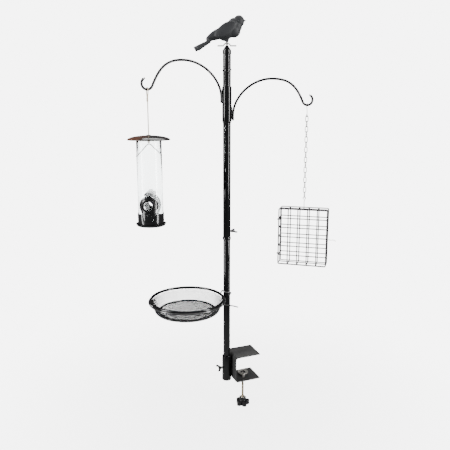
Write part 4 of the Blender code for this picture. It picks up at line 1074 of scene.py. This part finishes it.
class StationFeeder(bpy.types.Operator):
    """Make the tube feeder: roof, clear tube, ports, base, saucer and bail"""

    bl_idname = "station.feeder"
    bl_label = "Tube feeder"

    def execute(self, context):
        s = settings().feeder
        middle = centre("feeder_tube")
        self.axis = Vector((middle.x, middle.y, 0))
        self.roof()
        self.tube(s)
        self.bail(s)
        self.base()
        self.ribs(s)
        for name in ("front_port", "back_port"):
            soften(name, "feeder", "black_plastic", black_plastic(), 0.0005, 2)
        soften("seed_baffle", "feeder", "black_plastic", black_plastic(), 0.0006, 2)
        return {"FINISHED"}

    def ribs(self, s):
        """Raised ribs moulded on the front port: arches over the hole and short bars under it."""
        port = NODES["front_port"]
        into = port.matrix_world.inverted()
        out = heading(s.port_turn)
        side = Vector((-out.y, out.x, 0))
        middle = self.axis + Vector((0, 0, highest("front_port") - PORT_MIDDLE))

        def on_face(x, z):
            start = middle + out * 0.08 + side * x + Vector((0, 0, z))
            hit, where, _, _ = port.ray_cast(into @ start, into.to_3x3() @ -out)
            return port.matrix_world @ where - out * 0.0003 if hit else None

        # two arches, then four bars of the port's width, on the port's face in metres from the hole's middle
        runs = [arc(0, 0, radius, 25, 155, 24) for radius in (0.0150, 0.0188)]
        runs += [[(x * 0.0012, -0.0175 - 0.0036 * i) for x in range(-6, 7)] for i in range(4)]
        ribs = []
        for run in runs:
            points = [p for p in (on_face(x, z) for x, z in run) if p]
            if len(points) > 3:
                ribs.append(wire("rib", points, 0.0019, 8))
        finish(joined("port_ribs", ribs), "feeder", "black_plastic", black_plastic())

    def roof(self):
        """A shallow dome with a rolled rim and a raised eyelet round the cord's hole."""
        low, high = lowest("feeder_roof"), highest("feeder_roof")
        r, t, hole = across("feeder_roof") / 2, 0.0011, 0.0031
        tall = high - low
        outer = []
        for i in range(25):
            a = math.radians(3.5 + (86.5 - 3.5) * i / 24)
            outer.append((r * math.sin(a) * 0.995, low + 0.0016 + (tall - 0.0028) * math.cos(a) ** 1.15))
        rim = [(x + r - t, y + low + t) for x, y in arc(0, 0, t, 60, -200, 8)]
        inner = [(max(x - t * 0.55, hole), z - t) for x, z in outer[-2::-1]]
        eyelet = [(hole, outer[0][1]), (hole, high), (hole + 0.0015, high), (hole + 0.0026, outer[0][1])]
        o = lathe("feeder_roof_dome", eyelet + outer[2:] + rim + inner, self.axis, 96)
        finish(o, "feeder_roof", "black_satin", roof_enamel(), "feeder_roof")

    def tube(self, s):
        """A clear tube with its edges rounded, drilled for the ports and the bail."""
        r = TUBE_RADIUS
        low, high = lowest("feeder_tube"), highest("feeder_tube")
        outline = rounded([(r, high), (r, low), (r - s.wall, low), (r - s.wall, high)], 0.0005, 2)
        o = lathe("feeder_tube_clear", outline, self.axis, 96)
        port_z = highest("front_port") - PORT_MIDDLE
        out = heading(s.port_turn)
        boolean(o, cutter(s.port_hole / 2, 4 * r, self.axis + Vector((0, 0, port_z)), out, 40))
        wide = heading(settings().arm.left_turn)
        bail_low = lowest("feeder_bail") + s.bail / 2
        boolean(o, cutter(s.bail / 2 + 0.0004, 4 * r, self.axis + Vector((0, 0, bail_low)), wide, 24))
        only(o)
        bpy.ops.object.shade_smooth_by_angle(angle=math.radians(35))
        finish(o, "feeder", "clear_plastic", clear_plastic(), "feeder_tube")

    def bail(self, s):
        r = TUBE_RADIUS
        side = r - s.wall - 0.0008 - s.bail / 2
        half = [(r + s.bail_proud, 0, -s.bail_drop), (r - s.wall, 0, -s.bail_drop),
                (side - 0.0015, 0, -s.bail_drop + 0.0035), (side * 0.55, 0, -0.010), (0.004, 0, -0.0005)]
        points = smooth_curve(half + [(-x, y, z) for x, y, z in half[::-1]], 7)
        top = lowest("feeder_bail") + s.bail / 2 + s.bail_drop
        points = placed(points, self.axis + Vector((0, 0, top)), settings().arm.left_turn)
        o = wire("feeder_bail_wire", points, s.bail, 12)
        finish(o, "feeder", "black_gloss", powder_coat(), "feeder_bail")

    def base(self):
        """The moulded cup keeps its notches; the saucer is turned finely, with drain holes."""
        soften("feeder_base", "feeder", "black_plastic", black_plastic(), 0.0005, 2)
        low, high = lowest("feeder_saucer"), highest("feeder_saucer")
        r = across("feeder_saucer") / 2
        floor = lowest("feeder_base") - 0.0003
        outline = [(0, floor), (r * 0.88, floor), (r - 0.0012, high), (r, high), (r * 0.9, low), (0, low)]
        o = lathe("saucer", rounded(outline, 0.0008, 4), self.axis, 80)
        for i in range(6):
            a = math.tau * i / 6
            spot = self.axis + Vector((r * 0.80 * math.cos(a), r * 0.80 * math.sin(a), floor))
            boolean(o, cutter(0.0016, 0.02, spot, (0, 0, 1), 16))
        only(o)
        bpy.ops.object.shade_smooth_by_angle(angle=math.radians(35))
        finish(o, "feeder", "black_plastic", black_plastic(), "feeder_saucer")


class StationCord(bpy.types.Operator):
    """Make the twisted cord over the left hook, its knot below the roof and the thread round its splice"""

    bl_idname = "station.cord"
    bl_label = "Cord"

    def execute(self, context):
        s = settings().feeder
        arm = settings().arm
        hang = left_hook_point()
        rest = arm.rod / 2 + s.cord / 2 + 0.0003
        end = highest("feeder_knot") + 0.0003 - hang.z
        low = -s.loop_drop
        path = [(0.0, 0, end), (0.0, 0, (end + low) / 2), (0.0, 0, low - 0.014), (0.0016, 0, low),
                (s.loop_radius * 0.99, 0, -0.006)]
        path += upright(arc(0, rest - s.loop_radius, s.loop_radius, 10, 170, 4))
        path += [(-s.loop_radius * 0.99, 0, -0.006), (-0.0030, 0, low), (-0.0032, 0, low - 0.012)]
        across_arm = arm.left_turn + math.pi / 2
        points = placed(smooth_curve(path, 14), hang, across_arm)
        cord = self.rope("hanging_cord", points, s.cord, s.strand_pitch)
        finish(cord, "feeder", "cord", cord_fibre(), "feeder_cord")
        knot = self.knot(s, Vector((hang.x, hang.y, centre("feeder_knot").z)))
        finish(knot, "feeder", "cord", cord_fibre(), "feeder_knot")
        whip = self.whipping(hang, low, across_arm)
        finish(whip, "feeder", "cord", cord_fibre())
        return {"FINISHED"}

    def rope(self, name, points, diameter, pitch, sides=18, strands=3):
        """A tube along a path, grooved by strands that turn round it."""
        work = bmesh.new()
        rings = []
        gone = 0.0
        side = None
        for i, p in enumerate(points):
            before, after = points[max(i - 1, 0)], points[min(i + 1, len(points) - 1)]
            way = (after - before).normalized()
            if side is None:
                side = way.orthogonal().normalized()
            side = (side - way * side.dot(way)).normalized()
            other = way.cross(side)
            gone += (p - before).length if i else 0.0
            ring = []
            for k in range(sides):
                a = math.tau * k / sides
                groove = abs(math.sin(strands / 2 * (a - math.tau * gone / pitch)))
                r = diameter / 2 * (0.84 + 0.16 * groove ** 0.6)
                ring.append(work.verts.new(p + (side * math.cos(a) + other * math.sin(a)) * r))
            rings.append(ring)
        for a, b in zip(rings, rings[1:]):
            for k in range(sides):
                j = (k + 1) % sides
                work.faces.new((a[k], a[j], b[j], b[k]))
        work.faces.new(rings[0][::-1])
        work.faces.new(rings[-1])
        bmesh.ops.recalc_face_normals(work, faces=work.faces)
        mesh = bpy.data.meshes.new(name)
        work.to_mesh(mesh)
        work.free()
        o = bpy.data.objects.new(name, mesh)
        bpy.context.scene.collection.objects.link(o)
        only(o)
        bpy.ops.object.shade_smooth_by_angle(angle=math.radians(60))
        return o

    def knot(self, s, at):
        """An overhand knot, drawn tight."""
        wide, tall, count = 0.00085, 0.0014, 90
        points = []
        for i in range(count + 1):
            a = math.tau * i / count
            points.append(at + Vector(((math.sin(a) + 2 * math.sin(2 * a)) * wide,
                                       (math.cos(a) - 2 * math.cos(2 * a)) * wide,
                                       -math.sin(3 * a) * tall)))
        return self.rope("cord_knot", points, s.cord * 0.9, s.strand_pitch, 12)

    def whipping(self, hang, low, turn):
        """Thin thread wound round both runs of the cord where the loop closes."""
        thread, wide, deep = 0.0007, 0.0029, 0.00165
        turns, steps = 9, 20
        points = []
        for i in range(steps * turns + 1):
            a = math.tau * i / steps
            points.append((math.cos(a) * wide - 0.0015, math.sin(a) * deep,
                           low - 0.0035 - thread * i / steps))
        return wire("cord_whipping", placed(points, hang, turn), thread, 6)


class StationChain(bpy.types.Operator):
    """Make the chain's welded links and the wire hooks at its ends"""

    bl_idname = "station.chain"
    bl_label = "Chain"

    def execute(self, context):
        s = settings().cage
        arm = settings().arm
        bodies = frame["record"]["behaviour"]["bodies"]
        for body in ("chain_upper", "chain_middle", "chain_lower"):
            for name in bodies[body]:
                if name.startswith("chain_link"):
                    number = int(name[-2:]) - 1
                    link = self.link(s, name + "_welded", centre(name),
                                     arm.right_turn + math.pi / 2 * (number % 2))
                    finish(link, body, "bright_steel", chain_steel(), name)
        self.top_hook(s, arm)
        self.low_hook(s, arm)
        return {"FINISHED"}

    def link(self, s, name, at, turn):
        """An oval link with a swollen weld halfway down one side."""
        w = (s.link_width - s.chain_wire) / 2
        straight = (s.link - s.chain_wire) / 2 - w
        points = arc(0, straight, w, 0, 180, 12)
        side = [(-w, straight * (1 - 2 * i / 8)) for i in range(1, 8)]
        points += side + arc(0, -straight, w, 180, 360, 12)
        radii = [1.0] * 13 + [1.0, 1.05, 1.2, 1.28, 1.2, 1.05, 1.0] + [1.0] * 13
        return wire(name, placed(upright(points), at, turn), s.chain_wire, 10, True, radii)

    def top_hook(self, s, arm):
        hang = right_hook_point()
        seat = arm.rod / 2 + s.chain_wire / 2 + 0.0003
        low = -s.hook_length
        path = upright(arc(0, 0, seat, 205, -20, 20))
        path += smooth_curve([path[-1], (seat * 0.7, 0, -0.007), (0.0, 0, -0.013),
                              (0.0, 0, low + 2 * s.eye + 0.003)]
                             + upright(arc(0, low + s.eye, s.eye, 75, -235, 9)), 5)[1:]
        o = wire("top_wire_hook", placed(path, hang, arm.right_turn + math.pi / 2), s.chain_wire, 10)
        finish(o, "chain_upper", "bright_steel", chain_steel(), "chain_hook")

    def low_hook(self, s, arm):
        low, high = lowest("cage_hook"), highest("cage_hook")
        middle = right_hook_point()
        at = (middle.x, middle.y, 0)
        top = high - s.chain_wire / 2 - s.eye
        bottom = low + s.chain_wire / 2
        upper = Matrix.Rotation(arm.right_turn, 3, "Z")
        lower = Matrix.Rotation(s.turn + math.pi / 2, 3, "Z")
        path = [upper @ Vector(p) for p in upright(arc(0, top, s.eye, 255, -55, 9))]
        path += [Vector((0, 0, top - 2 * s.eye - 0.002)), Vector((0, 0, bottom + 3 * s.cage_eye))]
        path += [lower @ Vector(p) for p in upright(arc(0, bottom + s.cage_eye, s.cage_eye, 60, -210, 8))]
        o = wire("low_wire_hook", placed(smooth_curve(path, 5), at, 0), s.chain_wire, 10)
        finish(o, "chain_lower", "bright_steel", chain_steel(), "cage_hook")


class StationCage(bpy.types.Operator):
    """Make the suet cage: a basket and a door of crossed, welded wires, hinge loops and the latch"""

    bl_idname = "station.cage"
    bl_label = "Suet cage"

    def execute(self, context):
        s = settings().cage
        self.middle = centre("cage_basket")
        self.basket(s)
        self.door(s)
        self.latch()
        return {"FINISHED"}

    def bar(self, s, points, closed=False, sides=8):
        """One wire of the cage, slightly uneven as dipped wire is, given in the cage's own axes."""
        radii = [1 + 0.05 * math.sin(7.0 * i + 40 * points[0][2]) for i in range(len(points))]
        return wire("bar", placed(points, self.middle, s.turn), s.wire * CAGE_SEEN, sides, closed, radii)

    def bent(self, corners, radius, step=0.006, closed=False):
        """Points along straight runs with rounded corners between them."""
        pts = [Vector(c) for c in corners]
        count = len(pts)
        out = []
        for i, here in enumerate(pts):
            if not closed and i in (0, count - 1):
                out.append(here)
                continue
            before, after = pts[i - 1], pts[(i + 1) % count]
            a = here + (before - here).normalized() * radius
            b = here + (after - here).normalized() * radius
            for k in range(5):
                t = k / 4
                out.append(a * (1 - t) ** 2 + here * 2 * t * (1 - t) + b * t * t)
        filled = []
        pairs = list(zip(out, out[1:])) + ([(out[-1], out[0])] if closed else [])
        for a, b in pairs:
            parts = max(int((b - a).length / step), 1)
            filled += [a.lerp(b, k / parts) for k in range(parts)]
        if not closed:
            filled.append(out[-1])
        return filled

    def run(self, s, corners, radius, closed=False):
        """One wire along straight runs with rounded corners."""
        return self.bar(s, self.bent(corners, radius, closed=closed), closed)

    def basket(self, s):
        w, h, d, t = s.width / 2, s.height / 2, s.depth / 2, s.wire * 0.45
        r = 0.0035
        bars = []
        for i in range(s.rows + 1):
            z = s.height * (i / s.rows - 0.5)
            if 0 < i < s.rows:
                hoop = [(-w, -d, z), (-w, d + t, z), (w, d + t, z), (w, -d, z)]
                bars.append(self.run(s, hoop, r))
        for i in range(1, s.columns):
            x = s.width * (i / s.columns - 0.5)
            bars.append(self.run(s, [(x, -d, h), (x, d - t, h), (x, d - t, -h), (x, -d, -h)], r))
        for y in (-d, d):
            ring = [(-w, y, -h), (w, y, -h), (w, y, h), (-w, y, h)]
            bars.append(self.run(s, ring, r, True))
        ring = [(-w + t, 0, -h + t), (w - t, 0, -h + t), (w - t, 0, h - t), (-w + t, 0, h - t)]
        bars.append(self.run(s, ring, r, True))
        for z in (-h, h):
            for x in (-w, w):
                bars.append(self.bar(s, [Vector((x, -d, z * 0.98)), Vector((x, 0, z * 0.98)),
                                         Vector((x, d, z * 0.98))]))
        o = joined("cage_basket_wires", bars)
        finish(o, "cage", "dark_wire", cage_coat(), "cage_basket")

    def door(self, s):
        w, h, d, t = s.width / 2, s.height / 2, s.depth / 2, s.wire * 0.45
        y = -d - s.wire - s.door_gap
        bars = []
        ring = [(-w, y, -h), (w, y, -h), (w, y, h), (-w, y, h)]
        bars.append(self.run(s, ring, 0.003, True))
        for i in range(1, s.columns):
            x = s.width * (i / s.columns - 0.5)
            bars.append(self.run(s, [(x, y - t, -h), (x, y - t, h)], 0))
        for i in range(1, s.rows):
            z = s.height * (i / s.rows - 0.5)
            bars.append(self.run(s, [(-w, y + t, z), (w, y + t, z)], 0))
        for share in (-0.62, 0.62):
            loop = [(-w + 0.0036 * math.cos(a), (y - d) / 2 + 0.0036 * math.sin(a), h * share)
                    for a in [math.tau * i / 20 for i in range(20)]]
            bars.append(self.bar(s, [Vector(p) for p in loop], True, 6))
        o = joined("cage_door_wires", bars)
        finish(o, "cage_door", "dark_wire", cage_coat(), "cage_door")

    def latch(self):
        soften("cage_latch", "cage_latch", "bright_steel", bright_steel(), 0.0002, 1, 60.0)


class StationTray(bpy.types.Operator):
    """Make the tray: woven wire mesh, its rings, the holding hoop and the spiral clip on the pole"""

    bl_idname = "station.tray"
    bl_label = "Tray"

    def execute(self, context):
        s = settings().tray
        middle = centre("tray_rim")
        self.axis = Vector((middle.x, middle.y, 0))
        self.ring("tray_hoop", s.hoop_wire, "tray_holder", 0.0, "black_gloss", hoop_coat())
        self.ring("tray_rim", s.rim_wire, "tray", 2.0, "black_gloss", powder_coat())
        self.ring("tray_base_ring", s.base_wire, "tray", 4.0, "black_gloss", powder_coat())
        self.weave(s)
        self.clip(s)
        return {"FINISHED"}

    def ring(self, name, diameter, body, seam, slot, material):
        """A ring of wire, with a slight swelling where its ends are welded."""
        r = (across(name) - diameter) / 2
        count = 144
        points = [(r * math.cos(math.tau * i / count), r * math.sin(math.tau * i / count), centre(name).z)
                  for i in range(count)]
        radii = [1 + 0.13 * math.exp(-((i / count * math.tau - seam - 0.3) / 0.02) ** 2)
                 for i in range(count)]
        o = wire(name + "_round", placed(points, self.axis, 0), diameter, 14, True, radii)
        finish(o, body, slot, material, name)

    def profile(self):
        """The dish from its middle out: (radius, height) points and the running length."""
        low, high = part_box("tray_mesh")
        outer = (high.x - low.x) / 2
        floor, top = low.z + 0.0006, high.z - 0.0004
        corner, inner = 0.010, outer - 0.0118
        points = [(0.0, floor), (inner - corner, floor)]
        points += arc(inner - corner + 0.003, floor + corner, corner, -90, -8, 8)[1:]
        points += [(outer - 0.0006, top)]
        gone, out = 0.0, []
        for i, p in enumerate(points):
            if i:
                gone += math.dist(p, points[i - 1])
            out.append((gone, *p))
        return out

    def weave(self, s):
        """Two sets of wires that pass over and under each other, bent up from a flat disc to the dish."""
        dish = self.profile()
        reach = dish[-1][0]
        count = int(reach / s.mesh_pitch)

        def shaped(x, y, lift):
            far = min(math.hypot(x, y), reach)
            for (s0, r0, z0), (s1, r1, z1) in zip(dish, dish[1:]):
                if far <= s1 + 1e-9:
                    t = (far - s0) / (s1 - s0)
                    r, z = r0 + (r1 - r0) * t, z0 + (z1 - z0) * t
                    steep = Vector((-(z1 - z0), r1 - r0)).normalized()
                    break
            a = math.atan2(y, x)
            r += steep.x * lift
            return self.axis + Vector((r * math.cos(a), r * math.sin(a), z + steep.y * lift))

        bpy.ops.object.select_all(action="DESELECT")
        bpy.ops.curve.primitive_nurbs_path_add(location=(0, 0, 0))
        o = named("tray_mesh_woven")
        curve = o.data
        curve.splines.clear()
        for turned in (False, True):
            for i in range(-count, count + 1):
                along = int(math.sqrt(max(reach ** 2 - (i * s.mesh_pitch) ** 2, 0)) / s.mesh_pitch)
                if along < 2:
                    continue
                line = curve.splines.new("POLY")
                line.points.add(2 * along)
                line.use_smooth = True
                for k, j in enumerate(range(-along, along + 1)):
                    x, y = i * s.mesh_pitch, j * s.mesh_pitch
                    lift = s.mesh_wire * 0.5 * (1 if (i + j) % 2 else -1) * (1 if turned else -1)
                    point = shaped(*((y, x) if turned else (x, y)), lift)
                    line.points[k].co = (*point, 1)
        curve.bevel_depth = s.mesh_wire / 2
        curve.bevel_resolution = 0
        curve.use_fill_caps = True
        only(o)
        bpy.ops.object.convert(target="MESH")
        o = settle(named("tray_mesh_woven"), 80.0, False)
        finish(o, "tray", "mesh", mesh_wire(), "tray_mesh")

    def clip(self, s):
        """The spiral from the hoop's outside round the pole's front, with its tail out below."""
        rad = math.radians
        z = centre("tray_hoop").z
        clear = across("lower_pole") / 2 + 0.0003 + s.clip_wire / 2
        outside = across("tray_hoop") / 2 + s.clip_wire / 2 + 0.0003
        turn = s.clip_weld_turn
        weld = self.axis + Vector((outside * math.cos(turn), outside * math.sin(turn), z))
        lead = weld.lerp(around(rad(155), clear + 0.0012, z), 0.55)
        path = [weld, lead + Vector((0, 0, 0.007)), around(rad(155), clear + 0.0012, z + 0.0125)]
        # degrees about the pole, and height above the hoop
        turns = ((180, 0.0135), (215, 0.0125), (250, 0.0110), (285, 0.0096), (320, 0.0080), (360, 0.0030),
                 (400, -0.0040), (440, -0.0105), (480, -0.0165), (510, -0.0200), (540, -0.0225),
                 (575, -0.0240), (610, -0.0250))
        path += [around(rad(a), clear, z + rise) for a, rise in turns]
        along = around(rad(-22), s.clip_tail) - around(0, 0)
        path += [path[-1] + along / 2 - Vector((0, 0, 0.002)), path[-1] + along - Vector((0, 0, 0.006))]
        o = wire("tray_clip_wire", smooth_curve(path, 7), s.clip_wire, 12)
        finish(o, "tray_holder", "dark_wire", clip_coat(), "tray_clip")


class StationPanel(bpy.types.Panel):
    """Lists the station's pieces in the sidebar"""

    bl_idname = "VIEW3D_PT_station"
    bl_label = "Bird Feeding Station"
    bl_space_type = "VIEW_3D"
    bl_region_type = "UI"
    bl_category = "Station"

    def draw(self, context):
        for operator in OPERATORS:
            self.layout.operator(operator.bl_idname)


SETTINGS = (StageSettings, FinishSettings, ArmSettings, FeederSettings, CageSettings, TraySettings,
            ClampSettings, StationSettings)
OPERATORS = (StationStage, StationPole, StationClamp, StationArms, StationTop, StationFeeder, StationCord,
             StationChain, StationCage, StationTray)


def register():
    for cls in (*SETTINGS, *OPERATORS, StationPanel):
        bpy.utils.register_class(cls)
    bpy.types.Scene.station = PointerProperty(type=StationSettings)


def unregister():
    del bpy.types.Scene.station
    for cls in reversed((*SETTINGS, *OPERATORS, StationPanel)):
        bpy.utils.unregister_class(cls)


def main():
    register()
    bpy.ops.station.stage()
    bpy.ops.station.pole()
    bpy.ops.station.clamp()
    bpy.ops.station.arms()
    bpy.ops.station.top()
    bpy.ops.station.feeder()
    bpy.ops.station.cord()
    bpy.ops.station.chain()
    bpy.ops.station.cage()
    bpy.ops.station.tray()


if __name__ == "__main__":
    main()
